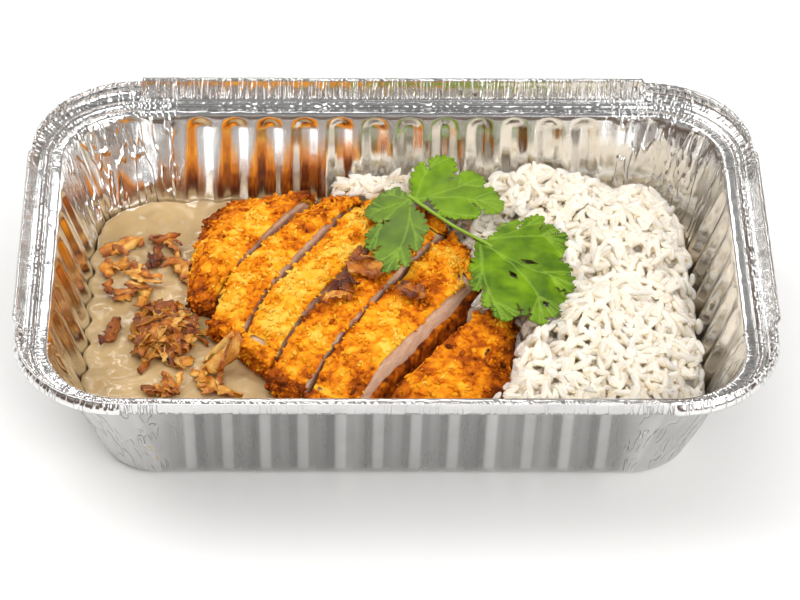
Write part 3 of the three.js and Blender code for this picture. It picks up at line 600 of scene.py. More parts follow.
@dataclass(frozen=True)
class SteamedRice(Finish):
    """Moist white rice, each grain a little different; deeper grains and the core are warmer and brighter, as
    painted bounce light in the gaps.
    """

    white: Colour = (0.64, 0.61, 0.565)
    # Warm colour for the grains' random tone and for painted bounce light in the gaps
    warm: Colour = (0.80, 0.68, 0.50)

    def build(self) -> bpy.types.Material:
        """Make the material."""
        shader = Shader(
            "SteamedRice", Subsurface_Weight=1.0, Subsurface_Scale=0.0045, Specular_IOR_Level=0.45,
        )
        shader.surface.inputs["Subsurface Radius"].default_value = (1.0, 0.85, 0.6)
        shader.surface.subsurface_method = "BURLEY"
        tone = shader.mark("tone")
        # Painted bounce light: deeper grains and the core take the brighter warm colour
        shader.set("Base Color", shader.mix(tone, self.white, self.warm))
        haze = shader.noise(shader.place(), 0.9, 2.0)
        shader.set("Roughness", 0.24 + 0.2 * haze)
        shader.set("Normal", shader.bump(haze, 0.05, 0.5))
        return shader.material


@dataclass(frozen=True)
class FriedCrumb(Finish):
    """Fried breadcrumbs: pale gold through orange to dark brown, as toasted as the mesh says; the mesh's toast
    mark also holds painted shade in the crevices.
    """

    stops: tuple[tuple[float, Colour], ...] = (
        (0.0, (0.92, 0.56, 0.08)),
        (0.2, (0.90, 0.40, 0.017)),
        (0.42, (0.79, 0.24, 0.006)),
        (0.68, (0.44, 0.092, 0.004)),
        (1.0, (0.11, 0.02, 0.003)),
    )
    mottle: float = 3.6

    def build(self) -> bpy.types.Material:
        """Make the material."""
        shader = Shader("FriedCrumb", Subsurface_Weight=0.2, Subsurface_Scale=0.0015, Specular_IOR_Level=0.08)
        shader.surface.inputs["Subsurface Radius"].default_value = (1.0, 0.45, 0.12)
        place = shader.place()
        mottle = shader.noise(place, self.mottle, 4.0, 0.65)
        toast = shader.mark("toast") + 0.45 * (mottle - 0.5)
        shader.set("Base Color", shader.ramp(toast, self.stops))
        oil = shader.noise(place, 1.1, 2.0)
        shader.set("Roughness", 0.62 - 0.3 * oil.above(0.5, 0.7))
        shader.set("Coat Weight", 0.25 * oil.above(0.62, 0.74))
        grit = shader.bump(shader.noise(place, 0.6, 3.0, 0.7), 0.3, 0.6)
        shader.set("Normal", shader.bump(shader.cells(place, 1.0), 0.3, 0.5, grit))
        return shader.material


@dataclass(frozen=True)
class CutChicken(Finish):
    """Moist cooked chicken, cut across, with faint fibres."""

    pink: Colour = (0.62, 0.36, 0.24)
    pale: Colour = (0.72, 0.50, 0.36)

    def build(self) -> bpy.types.Material:
        """Make the material."""
        shader = Shader("CutChicken", Subsurface_Weight=0.4, Subsurface_Scale=0.004, Specular_IOR_Level=0.2)
        shader.surface.inputs["Subsurface Radius"].default_value = (1.0, 0.45, 0.3)
        fibres = shader.noise(shader.place((0.5, 0.5, 1.6)), 1.4, 4.0, 0.6)
        shader.set("Base Color", shader.mix(fibres.above(0.35, 0.7), self.pink, self.pale))
        shader.set("Roughness", 0.3 + 0.25 * fibres)
        shader.set("Normal", shader.bump(fibres, 0.35, 0.7))
        return shader.material


@dataclass(frozen=True)
class CrispOnion(Finish):
    """Crisp fried onion, from pale gold to dark brown, a little glassy."""

    stops: tuple[tuple[float, Colour], ...] = (
        (0.0, (0.84, 0.46, 0.12)),
        (0.25, (0.66, 0.26, 0.032)),
        (0.55, (0.36, 0.095, 0.011)),
        (1.0, (0.08, 0.016, 0.005)),
    )

    def build(self) -> bpy.types.Material:
        """Make the material."""
        shader = Shader(
            "CrispOnion", Subsurface_Weight=0.35, Subsurface_Scale=0.0012, Specular_IOR_Level=0.35,
        )
        shader.surface.inputs["Subsurface Radius"].default_value = (1.0, 0.5, 0.2)
        place = shader.place()
        burnt = shader.noise(place, 2.0, 3.0)
        fibres = shader.noise(shader.layer("strand", (0.3, 1, 1)), 0.55, 3.0, 0.6)
        toast = shader.mark("toast") + 0.45 * (burnt - 0.5) + 0.5 * (fibres - 0.5)
        shader.set("Base Color", shader.ramp(toast, self.stops))
        shader.set("Roughness", 0.2 + 0.16 * burnt)
        shader.set("Coat Weight", 0.2 * burnt.below(0.4, 0.6))
        shader.set("Normal", shader.bump(fibres, 0.5, 0.8))
        return shader.material


@dataclass(frozen=True)
class FreshLeaf(Finish):
    """Fresh green coriander leaf with paler veins and a soft bloom, partly a painted sheen."""

    green: Colour = (0.18, 0.32, 0.004)
    deep: Colour = (0.04, 0.10, 0.002)
    vein: Colour = (0.27, 0.42, 0.05)
    bloom: Colour = (0.125, 0.185, 0.045)

    def build(self) -> bpy.types.Material:
        """Make the material."""
        shader = Shader("FreshLeaf", Subsurface_Weight=0.05, Subsurface_Scale=0.0008, Specular_IOR_Level=0.2)
        shader.surface.inputs["Subsurface Radius"].default_value = (0.4, 1.0, 0.2)
        place = shader.place()
        patches = shader.noise(place, 7.0, 3.0)
        green = shader.mix(shader.mark("fresh") + 2.4 * (patches - 0.5), self.deep, self.green)
        # Paler, greyer green: partly bloom, partly a painted sheen
        sheen_and_bloom_green = shader.mix(shader.mark("bloom"), green, self.bloom)
        shader.set("Base Color", shader.mix(shader.mark("vein"), sheen_and_bloom_green, self.vein))
        shader.set("Roughness", 0.46 + 0.2 * patches)
        blisters = shader.cells(place, 0.9)
        shader.set("Normal", shader.bump(blisters, 0.08, 0.5))
        return shader.material


@dataclass(frozen=True)
class PaleFloor(Finish):
    """Plain pale tabletop, very slightly clouded."""

    white: Colour = (0.93, 0.93, 0.92)
    cloudy: Colour = (0.92, 0.92, 0.915)

    def build(self) -> bpy.types.Material:
        """Make the material."""
        shader = Shader("PaleFloor", Roughness=0.55)
        clouds = shader.noise(shader.place(), 90.0)
        shader.set("Base Color", shader.mix(clouds, self.white, self.cloudy))
        return shader.material


# ---------------------------------------------------------------- foil tray


@dataclass
class FoilTray:
    """Pressed foil tray: fluted walls, beaded ledge, upright flange with a rolled edge.

    Round the corners the flange gives way to a lower lip with gathered pleats. A place up the
    sheet is given as out, how far it stands out from the wall's own line, and a height.
    """

    mouth: tuple[float, float, float] = (100.3, 64.3, 22.0)  # half length, half width, corner radius
    floor: tuple[float, float, float] = (85.9, 49.9, 17.0)
    ledge_height: float = 44.0
    foil: float = 0.14
    foot_radius: tuple[float, float] = (2.6, 3.3)
    flute_pitch: float = 10.8
    flute_radius: float = 4.2
    flute_depth: float = 1.7
    flute_slope: float = 0.72  # share of the half width that slopes
    flute_count: tuple[int, int] = (12, 6)  # on a long and a short side
    flute_span: tuple[float, float] = (2.4, 43.3)
    flange_reach: tuple[float, float] = (77.4, 38.0)  # half length of the flange on each side
    wall_top: float = 43.1
    ledge_profile: tuple[tuple[float, float], ...] = (  # out from the mouth and up, with the bead
        (0.06, -0.4), (0.22, -0.12), (0.6, 0.0), (1.3, 0.05), (2.1, 0.06), (2.9, 0.05), (3.2, -0.14),
        (3.5, -0.3), (3.8, -0.1), (4.1, 0.4), (4.6, 0.78), (5.15, 0.9), (5.65, 0.74), (6.0, 0.36),
        (6.3, -0.08), (6.6, -0.22), (6.95, 0.0), (7.25, 0.4),
    )
    flange_profile: tuple[tuple[float, float], ...] = (
        (7.5, 1.1), (7.76, 2.0), (8.02, 2.9), (8.28, 3.8), (8.54, 4.7), (8.72, 5.6),
    )
    lip_profile: tuple[tuple[float, float], ...] = (
        (8.0, 0.7), (8.9, 1.3), (9.35, 2.2), (9.2, 3.3), (8.5, 4.3), (7.85, 5.0),
    )
    roll_radius: float = 0.66
    roll_straight: tuple[float, float] = (9.46, 50.5)
    roll_corner: tuple[float, float] = (8.26, 49.7)
    corner_step: float = 0.76
    plain_step: float = 1.05
    pleat: float = 2.6
    notch: float = 2.0
    folds: tuple[tuple[float, float, float, float, int], ...] = (  # depth, width, height, sharpness, field
        (-0.6, 5.5, 42.0, 0.07, 3),
        (0.4, 4.0, 30.0, 0.09, 4),
        (-0.15, 2.2, 14.0, 0.14, 7),
    )

    def inside(self, height: Array) -> tuple[Array, Array, Array]:
        """Half length, half width and corner radius of the inside at a height."""
        rise = np.clip(height / self.ledge_height, 0, 1)
        return tuple(low + (high - low) * rise for low, high in zip(self.floor, self.mouth))

    def straight(self, side: int) -> float:
        """Half the straight stretch of a side, at the mouth."""
        return self.mouth[side % 2] - self.mouth[2]

    def flute_depth_at(self, along: Array, height: Array, count: Array | int) -> Array:
        """How far the flutes stand out of the wall.

        Args:
            along: Places along a side, from its middle.
            height: Heights of the same places.
            count: How many flutes that side has.

        Returns:
            The depth at each place.
        """
        first = -(count - 1) / 2
        nearest = np.clip(np.round(along / self.flute_pitch - first), 0, count - 1) + first
        low, high = (self.flute_span[0] + self.flute_radius, self.flute_span[1] - self.flute_radius)
        upright = height - np.clip(height, low, high)
        away = np.hypot(along - nearest * self.flute_pitch, upright) / self.flute_radius
        slope = np.clip((1 - away) / self.flute_slope, 0, 1)
        return self.flute_depth * (0.75 * slope + 0.25 * eased(slope, 0, 1))

    def clearance(self, points: Array) -> tuple[Array, Array]:
        """How far inside the wall's own line points are, corners included, and the way out to it."""
        half_length, half_width, radius = self.inside(points[:, 2])
        past = np.abs(points[:, :2]) - np.stack([half_length - radius, half_width - radius], axis=1)
        clear = radius - np.linalg.norm(np.maximum(past, 0), axis=1) - np.minimum(past.max(axis=1), 0)
        out = np.where(past > 0, past, 0) + 1e-6 * (past == past.max(axis=1, keepdims=True))
        return clear, np.sign(points[:, :2]) * out / np.linalg.norm(out, axis=1, keepdims=True)

    def room_outside(self, points: Array) -> tuple[Array, Array]:
        """How far points are from the wall's own line, and the push that fills the flutes there."""
        half_length, half_width, _ = self.inside(points[:, 2])
        to_long, to_short = half_width - abs(points[:, 1]), half_length - abs(points[:, 0])
        long_side = to_long < to_short
        deep = np.where(
            long_side,
            self.flute_depth_at(points[:, 0], points[:, 2], self.flute_count[0]),
            self.flute_depth_at(points[:, 1], points[:, 2], self.flute_count[1]),
        )
        outward = np.zeros_like(points)
        outward[long_side, 1] = np.sign(points[long_side, 1])
        outward[~long_side, 0] = np.sign(points[~long_side, 0])
        return np.minimum(to_long, to_short), outward * deep[:, None]

    def _side_places(self, side: int) -> Array:
        """Places along a side, close together at the edges of the flutes."""
        half = np.array([0.07, 0.14, 0.22, 0.33, 0.44, 0.5])
        shape = np.concatenate([-half[::-1], half, [0.57]])
        count = self.flute_count[side % 2]
        middles = (np.arange(count) - (count - 1) / 2) * self.flute_pitch
        fluted = (middles[:, None] + shape * 2 * self.flute_radius).ravel()[:-1]
        end = self.straight(side)
        steps = math.ceil((end - fluted[-1]) / self.plain_step)
        plain = np.linspace(fluted[-1], end, steps + 1)[1:]
        return np.concatenate([-plain[::-1], fluted, plain])

    def _stations(self) -> dict[str, Array]:
        """Stations once round the tray, as named arrays."""
        rows = []
        corner_steps = round(math.pi / 2 * self.mouth[2] / self.corner_step)
        turns = np.linspace(0, math.pi / 2, corner_steps + 1)[1:-1]
        for side in range(4):
            rows += [(side, along, 0.0, 0.0) for along in self._side_places(side)]
            rows += [(side, self.straight(side), turn, 1.0) for turn in turns]
        side, along, turn, corner = np.array(rows).T
        angle = side * math.pi / 2
        long_side = side % 2 == 0
        reach = np.where(long_side, *self.flange_reach)
        end = np.where(long_side, self.straight(0), self.straight(1))
        fluted = np.where(long_side, *((count * self.flute_pitch / 2) for count in self.flute_count))
        return {
            "along": along,
            "turn": turn,
            "corner": corner,
            "end": end,
            "fluted": fluted,
            "long": long_side,
            "count": np.where(long_side, *self.flute_count),
            "forward": np.stack([np.cos(angle), np.sin(angle)], axis=1),
            "outward": np.stack([np.sin(angle), -np.cos(angle)], axis=1),
            "upright": (1 - corner) * eased(abs(along), reach + 0.9, reach),
            "plain": np.maximum(corner, eased(abs(along), fluted - 0.5, fluted + 5)),
        }

    def _place(self, stations: dict[str, Array], level: Array, out: Array, height: Array) -> Array:
        """Points on the sheet.

        Args:
            stations: Stations round the tray.
            level: Height that sets the wall's own line, one row for each ring.
            out: How far out of that line, for each ring and station.
            height: Heights, for each ring and station.

        Returns:
            Points by ring and station.
        """
        half_length, half_width, radius = self.inside(level)
        reach = np.where(stations["long"], half_length, half_width)
        across = np.where(stations["long"], half_width, half_length)
        along, fluted, end = stations["along"], stations["fluted"], stations["end"]
        beyond = np.maximum(abs(along) - fluted, 0) / (end - fluted)
        spread = np.minimum(abs(along), fluted) + beyond * (reach - radius - fluted)
        turned = radius + out
        forth = np.sign(along) * spread + stations["corner"] * np.sin(stations["turn"]) * turned
        off = across - radius + np.cos(stations["turn"]) * turned
        flat = forth[..., None] * stations["forward"] + off[..., None] * stations["outward"]
        return np.concatenate([flat, np.broadcast_to(height, out.shape)[..., None]], axis=2)

    def _wall(self, stations: dict[str, Array], spots: Array) -> tuple[Array, Array, Array]:
        """Level, out and height of the rings from the floor's edge to the mouth."""
        bend = np.linspace(0, math.pi / 2, 6)
        foot_out = self.foot_radius[0] * (np.sin(bend) - 1)
        foot_height = self.foil + self.foot_radius[1] * (1 - np.cos(bend))
        low = np.arange(foot_height[-1] + 1.5, 34, 2.2)
        climb = np.concatenate([low, np.linspace(34.6, self.wall_top, 10)])
        height = np.concatenate([foot_height, climb])[:, None]
        out = np.concatenate([foot_out, np.zeros(len(climb))])[:, None]
        deep = self.flute_depth_at(stations["along"], height, stations["count"])
        out = out + deep * (1 - stations["corner"])
        whole = np.ones_like(height) * spots[None, :, 0]
        at = np.stack([whole, np.ones_like(height) * spots[None, :, 1], height * np.ones_like(whole)], axis=2)
        flat = at.reshape(-1, 3)
        folds = sum(
            depth * np.exp(-abs(swell(flat, (wide, wide, tall), seed)) / sharp)
            for depth, wide, tall, sharp, seed in self.folds
        )
        drape = swell(flat, (9, 9, 40), 5)
        fade = eased(height, 1, 10) * eased(height, self.wall_top + 0.6, self.wall_top - 1.5)
        gather = stations["plain"] * fade
        out = out + gather * (folds.reshape(out.shape) + 0.55 * drape.reshape(out.shape))
        dents = swell(flat, (5, 5, 14), 6).reshape(out.shape)
        return height, out + 0.05 * dents * eased(height, 4, 8), height * np.ones_like(out)

    def _rim(self, stations: dict[str, Array], spots: Array, arc: Array) -> tuple[Array, Array]:
        """Out and height of the rings from the mouth to the rolled edge's end."""
        turns = np.radians(np.arange(180, -140, -45))
        rolls = [
            [
                (out + self.roll_radius * math.cos(turn), up + self.roll_radius * math.sin(turn))
                for turn in turns
            ]
            for out, up in (self.roll_straight, self.roll_corner)
        ]
        ledge, flange, lip = (
            [(out, up + self.ledge_height) for out, up in profile]
            for profile in (self.ledge_profile, self.flange_profile, self.lip_profile)
        )
        side = np.array(ledge + flange + rolls[0])
        corner = np.array(ledge + lip + rolls[1])
        upright = stations["upright"]
        out = corner[:, :1] + upright * (side[:, :1] - corner[:, :1])
        height = corner[:, 1:] + upright * (side[:, 1:] - corner[:, 1:])
        profile = corner[:, 0]
        past = np.arange(len(profile)) >= len(ledge)
        on_ledge = eased(profile, 0.3, 1.2) * (profile < 3.1) * ~past
        on_bead = ((profile > 3.7) & (profile < 6.2)) * ~past
        wander = swell(spots, 5.0, 11)
        pleats = np.sin(2 * math.pi * (arc / self.pleat + 0.35 * wander))
        near_end = eased(abs(stations["along"]), stations["end"] - 9, stations["end"])
        gather = np.maximum(stations["corner"], near_end)
        tucks = 1 - 2.6 * abs(swell(spots, 2.6, 20)) ** 0.8
        plaits = gather * (0.55 * tucks + 0.45 * pleats)
        height = height + on_ledge[:, None] * (0.16 * plaits + 0.06 * swell(spots, 2.6, 12))
        dents = eased(swell(spots, 2.4, 13), 0.25, 0.6)
        height = height - (on_ledge * 0.1)[:, None] * dents
        notches = eased(np.cos(2 * math.pi * (arc / self.notch + 0.2 * wander)), 0.25, 0.95)
        crimp = notches * (0.7 + 0.5 * swell(spots, 9.0, 14)) * (1 - 0.7 * gather)
        height = height - on_bead[:, None] * (0.4 * crimp - 0.2 * plaits)
        low_flange = past * eased(profile, 9.6, 7.4)
        streaks = 0.07 * swell(spots, 0.9, 15) + 0.1 * swell(spots, 2.6, 16) - 0.08
        puckers = gather * (0.2 * plaits + 0.08 * swell(spots, 1.3, 17))
        out = out + past[:, None] * (upright * streaks + puckers)
        out = out - (low_flange * 0.2)[:, None] * upright * notches
        wave = 0.1 * swell(spots, 12.0, 18) + 0.05 * swell(spots, 2.2, 19) - 0.08 + 0.16 * gather * plaits
        return out, height + past[:, None] * wave

    def _rubbed(self, stations: dict[str, Array], height: Array) -> Array:
        """How dull and dark the outside is: painted highlights on the flutes' crests and corners, painted shade
        on their slopes, deeper on one slope, and a little random wear.
        """
        along, count = stations["along"], stations["count"]
        deep = self.flute_depth_at(along, height, count) / self.flute_depth
        ahead = self.flute_depth_at(along + 0.5, height, count)
        slope = (ahead - self.flute_depth_at(along - 0.5, height, count)) / 0.8
        # Painted shade on the flutes' slopes, deeper on one side than the other
        painted_flank_shade = 0.22 * np.clip(slope, 0, 1) + 0.1 * np.clip(-slope, 0, 1)
        worn = 0.16 * swell(np.column_stack([along, along, along]), 7.0, 21)
        # Painted highlight on the crests, plus random wear
        fluted = painted_flank_shade - 0.26 * eased(deep, 0.8, 1) + worn
        return 0.58 + fluted * (1 - stations["corner"]) - 0.3 * stations["plain"]

    def _marks(
        self, stations: dict[str, Array], rings: Array, spots: Array, rim_rings: int
    ) -> dict[str, Array]:
        """Numbers that the material reads at each place on the sheet.

        Args:
            stations: The places round the tray.
            rings: The sheet's points, ring by ring from the floor up.
            spots: Where each station lies at the mouth.
            rim_rings: How many of the last rings are the rim's.

        Returns:
            The numbers by name, one row for each point.
        """
        climb = np.cumsum(np.linalg.norm(np.diff(rings, axis=0, prepend=rings[:1]), axis=2), axis=0)
        across = np.broadcast_to(spots, (*rings.shape[:2], 2))
        sheet = np.concatenate([across, climb[..., None]], axis=2).reshape(-1, 3)
        up_rim = np.arange(len(rings))[:, None] - (len(rings) - rim_rings)
        past_mouth, past_ledge = up_rim >= 0, up_rim >= len(self.ledge_profile)
        crease = (0.02 + 0.6 * stations["plain"]) * (1 - past_mouth)
        on_rim = 0.6 * past_ledge * (0.5 + 0.5 * stations["plain"])
        gather = 0.2 * past_mouth * stations["plain"] + on_rim
        height = rings[..., 2]
        # The outside's dull side and painted shade; the flute shading stops at the rim
        matt = 0.2 + self._rubbed(stations, height) * eased(height, 45.5, 43)
        # Fading to bright foil at the foot: a painted glint
        matt = matt * eased(height, -1.5, 4)
        return {"matt": matt.ravel(), "sheet": sheet, "crease": crease.ravel(), "gather": gather.ravel()}

    def skin(self) -> Skin:
        """The whole sheet with both its faces."""
        stations = self._stations()
        zero = np.zeros((1, len(stations["along"])))
        mouth = np.array([[self.ledge_height]])
        spots = self._place(stations, mouth, zero, zero)[0, :, :2]
        arc = np.cumsum(np.linalg.norm(spots - np.roll(spots, 1, axis=0), axis=1))
        level, out, height = self._wall(stations, spots)
        wall = self._place(stations, level, out, height)
        rim_out, rim_height = self._rim(stations, spots, arc)
        rim = self._place(stations, mouth, rim_out, rim_height)
        edge = wall[0]
        floor = [edge * (share, share, 1) for share in (0.05, 0.45, 0.8, 0.96)]
        rings = np.concatenate([np.stack(floor), wall, rim])
        count, round_count = rings.shape[:2]
        index = np.arange(count * round_count).reshape(count, round_count)
        following = np.roll(index, -1, axis=1)
        quads = np.stack([index[:-1], following[:-1], following[1:], index[1:]], axis=2).reshape(-1, 4)
        hub = np.stack([index[0], following[0]], axis=1)
        points = rings.reshape(-1, 3)
        sheet = Skin(points, [quads])
        normals = sheet.normals()
        if normals[index[1, 0], 2] < 0:
            quads, hub, normals = quads[:, ::-1], hub[:, ::-1], -normals
        total = len(points)
        middle = np.array([[0, 0, self.foil], [0, 0, 0]])
        whole = np.concatenate([points, points - normals * self.foil, middle])
        top_hub = np.column_stack([hub[:, ::-1], np.full(len(hub), 2 * total)])
        low_hub = np.column_stack([hub + total, np.full(len(hub), 2 * total + 1)])
        last = np.stack([index[-1], following[-1]], axis=1)
        seam = np.column_stack([last, last[:, ::-1] + total])
        faces = [np.concatenate([quads, quads[:, ::-1] + total, seam]), np.concatenate([top_hub, low_hub])]
        marks = {
            name: np.concatenate([mark, mark, np.zeros((2, *mark.shape[1:]))])
            for name, mark in self._marks(stations, rings, spots, len(rim)).items()
        }
        marks["matt"][:total] = 0  # only the outside is dull and darkened with painted shade
        low, high = (np.array(corner) / MM for corner in CAD_BOX)
        return Skin(np.clip(whole, low, high), faces, marks)

    def build(self) -> None:
        """Make the tray."""
        add_piece("pressed_foil_tray", self.skin(), BrightFoil(), ["foil_tray"])


# ---------------------------------------------------------------- cream sauce


@dataclass
class SauceBed:
    """Cream sauce that fills its side of the tray and laps up against wall and chicken."""

    tray: FoilTray
    voxel: float = 1.09
    level: float = 16.8
    gap: float = 0.3
    climb: float = 0.7  # how high it laps up, and over what distance
    climb_width: float = 1.1
    swells: tuple[tuple[float, float], ...] = ((14.0, 0.4), (5.5, 0.55), (2.6, 0.3))

    def build(self) -> None:
        """Make the sauce."""
        skin = fine_skin("cream_sauce", self.voxel)
        skin.relax(2)
        facing = skin.normals()[:, 2]
        to_wall, fill = self.tray.room_outside(skin.points)
        reach = eased(to_wall, 3.2, 0.6) * (skin.points[:, 2] > 3)
        outward = fill / np.maximum(np.linalg.norm(fill, axis=1, keepdims=True), 1e-9)
        skin.points = skin.points + (fill * 0.94 + outward * self.gap) * reach[:, None]
        top = eased(facing, 0.3, 0.8) * (skin.points[:, 2] > self.level - 3)
        flat = skin.points[:, :2]
        rise = sum(depth * swell(flat, size, 30 + step) for step, (size, depth) in enumerate(self.swells))
        food = tree_of([f"crumb_coat_{number}" for number in range(1, 7)] + ["fried_onion_heap"])
        chosen = np.flatnonzero(top > 0)
        near = np.full(len(flat), 9.0)
        near[chosen] = [food.find_nearest(Vector(point))[3] for point in skin.points[chosen]]
        lap = np.exp(-np.maximum(near - 0.3, 0) / self.climb_width)
        lap += 0.7 * np.exp(-np.maximum(to_wall, 0) / self.climb_width)
        skin.points[:, 2] += top * (rise + self.climb * np.minimum(lap, 1.2) - 0.15)
        add_piece("cream_sauce_bed", skin, CreamSauce(), ["cream_sauce"])


# ---------------------------------------------------------------- rice


@dataclass
class RiceHeap:
    """Heap of long white grains over a close-packed core."""

    tray: FoilTray
    grain_length: float = 5.7
    grain_radius: float = 1.08
    grain_count: int = 4050
    grain_sides: int = 6
    grain_rings: int = 5
    sink: float = 0.95  # how far a sticky grain settles into those under it
    core_drop: float = 1.0  # how far the core stays under the heap's surface
    clump: float = 15.0  # how wide the sticky clumps are, and how high they stand
    clump_height: float = 5.5
    banked: float = 6.5  # how much higher the heap is banked up against the chicken
    gap: float = 8.0  # grains stay out of gaps between slices up to this width
    lumps: tuple[tuple[float, float], ...] = ((9.0, 1.2), (4.5, 0.9))
    crown: float = 33.6  # no clump stands higher than this
    headroom: float = 0.3  # clear height under the leaves
    cell: float = 0.5
    tries: int = 7
    seed: int = 41

    def _grain(self) -> tuple[Array, list[Array]]:
        """Points and faces of one straight grain along X, of half length 1 and radius 1."""
        places = -np.cos(np.linspace(0, math.pi, self.grain_rings + 1)[1:-1])
        girth = (1 - np.abs(places) ** 2.6) ** 0.55
        turns = np.linspace(0, 2 * math.pi, self.grain_sides, endpoint=False)
        rings = [
            np.stack([np.full(self.grain_sides, x), r * np.cos(turns), r * np.sin(turns)], axis=1)
            for x, r in zip(places, girth)
        ]
        points = np.concatenate([[[-1, 0, 0]], *rings, [[1, 0, 0]]])
        body = np.arange(1, len(points) - 1).reshape(len(rings), self.grain_sides)
        after = np.roll(body, -1, axis=1)
        quads = np.stack([body[:-1], body[1:], after[1:], after[:-1]], axis=2).reshape(-1, 4)
        start = np.column_stack([np.zeros(self.grain_sides, int), body[0], after[0]])
        end = np.column_stack([np.full(self.grain_sides, len(points) - 1), after[-1], body[-1]])
        return points, [quads, np.concatenate([start, end])]

    def _ground(self) -> tuple[Array, ...]:
        """Grid of places, the core's height and the goal for the grains, and where they may lie."""
        low, high = (np.array(corner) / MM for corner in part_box("rice_heap"))
        across = np.arange(low[0] - 1, high[0] + 1, self.cell)
        deep = np.arange(low[1] - 1, high[1] + 1, self.cell)
        x, y = np.meshgrid(across, deep, indexing="ij")
        heap = heights_over(tree_of(["rice_heap"]), x, y)
        chicken = heights_over(tree_of([f"crumb_coat_{number}" for number in range(1, 7)]), x, y)
        leaves = heights_over(tree_of(["coriander_sprig"]), x, y)
        room = np.where(np.isnan(leaves), 60, leaves - self.headroom - 1.7 * self.grain_radius)
        free = ~np.isnan(heap) & np.isnan(chicken)
        flat = np.stack([x.ravel(), y.ravel()], axis=1)
        relief = sum(depth * swell(flat, size, 60 + step) for step, (size, depth) in enumerate(self.lumps))
        away, mark = crumble(np.column_stack([flat, np.zeros(len(flat))]), self.clump, 64)
        relief += self.clump_height * (0.25 + 0.35 * mark - np.clip(away, 0, 0.9) ** 2)
        to_wall, _ = self.tray.room_outside(np.column_stack([flat, np.full(len(flat), 28.0)]))
        relief -= 4.0 * eased(to_wall, 9, 1.5) * (0.55 + swell(flat, 8.0, 66))
        coats = tree_of([f"crumb_coat_{number}" for number in range(1, 7)])
        near = np.array([coats.find_nearest(Vector((a, b, 27.0)))[3] for a, b in flat]).reshape(x.shape)
        bank = self.banked * eased(heap, 29.5, 22) * eased(near, 15, 8)
        goal = np.minimum(heap + relief.reshape(x.shape) + bank, np.minimum(room, self.crown))
        between = self._between(~np.isnan(chicken))
        goal = np.where(between, heap - 8, goal)
        clear, _ = self.tray.clearance(np.column_stack([flat, np.nan_to_num(goal.ravel(), nan=20.0) - 1.5]))
        return x, y, heap, goal, room, free & ~between & (clear.reshape(x.shape) > 1.2)

    def _between(self, covered: Array) -> Array:
        """Cells in a narrow gap, with covered cells on both sides of them along X."""
        reach = round(self.gap / self.cell)
        left, right = covered.copy(), covered.copy()
        for step in range(1, reach + 1):
            left[step:] |= covered[:-step]
            right[:-step] |= covered[step:]
        return left & right & ~covered

    def _settle(self, ground: Array, at: Array, yaw: float, low: Array) -> tuple[float, float]:
        """Height and slope at which a grain comes to rest.

        Args:
            ground: Heights of the heap so far, by cell.
            at: The grain's middle, along X and Y.
            yaw: The way it points.
            low: The grid's lowest corner.

        Returns:
            The height of its middle over the ground under it, and its slope.
        """
        along = np.linspace(-0.9, 0.9, 7) * self.grain_length / 2
        places = at + along[:, None] * (math.cos(yaw), math.sin(yaw))
        cells = np.round((places - low) / self.cell).astype(int)
        cells = np.clip(cells, 0, np.array(ground.shape) - 1)
        heights = ground[cells[:, 0], cells[:, 1]]
        best = (-1e9, 0.0)
        left, right = along < 0, along > 0
        for a, za in zip(along[left], heights[left]):
            for b, zb in zip(along[right], heights[right]):
                slope = (zb - za) / (b - a)
                height = za - slope * a
                if height > best[0]:
                    best = (height, slope)
        return max(best[0], heights[len(heights) // 2]), float(np.clip(best[1], -0.9, 0.9))

    def _lay(self) -> list[tuple[Array, float, float, float]]:
        """Drop the grains one by one, each where the heap is still lowest.

        Returns:
            Each grain's middle, yaw, slope and how deep under the heap's surface it lies.
        """
        random = np.random.default_rng(self.seed)
        x, y, heap, goal, room, free = self._ground()
        ground = np.where(np.isnan(heap), -5, goal - self.core_drop)
        blocked = ~free
        spots = np.argwhere(free)
        low = np.array([x[0, 0], y[0, 0]])
        laid = []
        for _ in range(self.grain_count):
            picks = spots[random.integers(0, len(spots), self.tries)]
            lack = (goal - ground)[picks[:, 0], picks[:, 1]]
            row, column = picks[np.argmax(lack)]
            at = np.array([x[row, column], y[row, column]]) + random.uniform(-0.3, 0.3, 2)
            yaw = random.uniform(0, 2 * math.pi)
            ends = at + np.array([[-0.5], [0.5]]) * self.grain_length * (math.cos(yaw), math.sin(yaw))
            cells = np.clip(np.round((ends - low) / self.cell).astype(int), 0, np.array(x.shape) - 1)
            if blocked[cells[:, 0], cells[:, 1]].any():
                continue
            height, slope = self._settle(ground, at, yaw, low)
            if height > room[row, column]:
                continue
            middle = np.array([*at, height + 0.75 * self.grain_radius - self.sink])
            self._fill(ground, low, middle, yaw, slope)
            low_lying = 0.35 * (heap[row, column] + 1.2 - goal[row, column])
            laid.append((middle, yaw, slope, float(goal[row, column] - height + max(low_lying, 0))))
        return laid

    def _fill(self, ground: Array, low: Array, middle: Array, yaw: float, slope: float) -> None:
        """Raise the ground to the top of a grain that has come to rest."""
        along = np.arange(-0.5, 0.51, 0.08) * self.grain_length
        aside = np.array([-0.7, 0, 0.7]) * self.grain_radius
        forth = along[:, None, None] * np.array([math.cos(yaw), math.sin(yaw)])
        places = middle[:2] + forth + aside[None, :, None] * np.array([-math.sin(yaw), math.cos(yaw)])
        cells = np.clip(np.round((places - low) / self.cell).astype(int), 0, np.array(ground.shape) - 1)
        round_off = np.sqrt(np.clip(1 - (2 * along / self.grain_length) ** 4, 0, 1))
        tops = middle[2] + slope * along + self.grain_radius * 0.8 * round_off
        for column, drop in enumerate((0.35, 0.0, 0.35)):
            rows, columns = cells[:, column, 0], cells[:, column, 1]
            np.maximum.at(ground, (rows, columns), tops - drop)

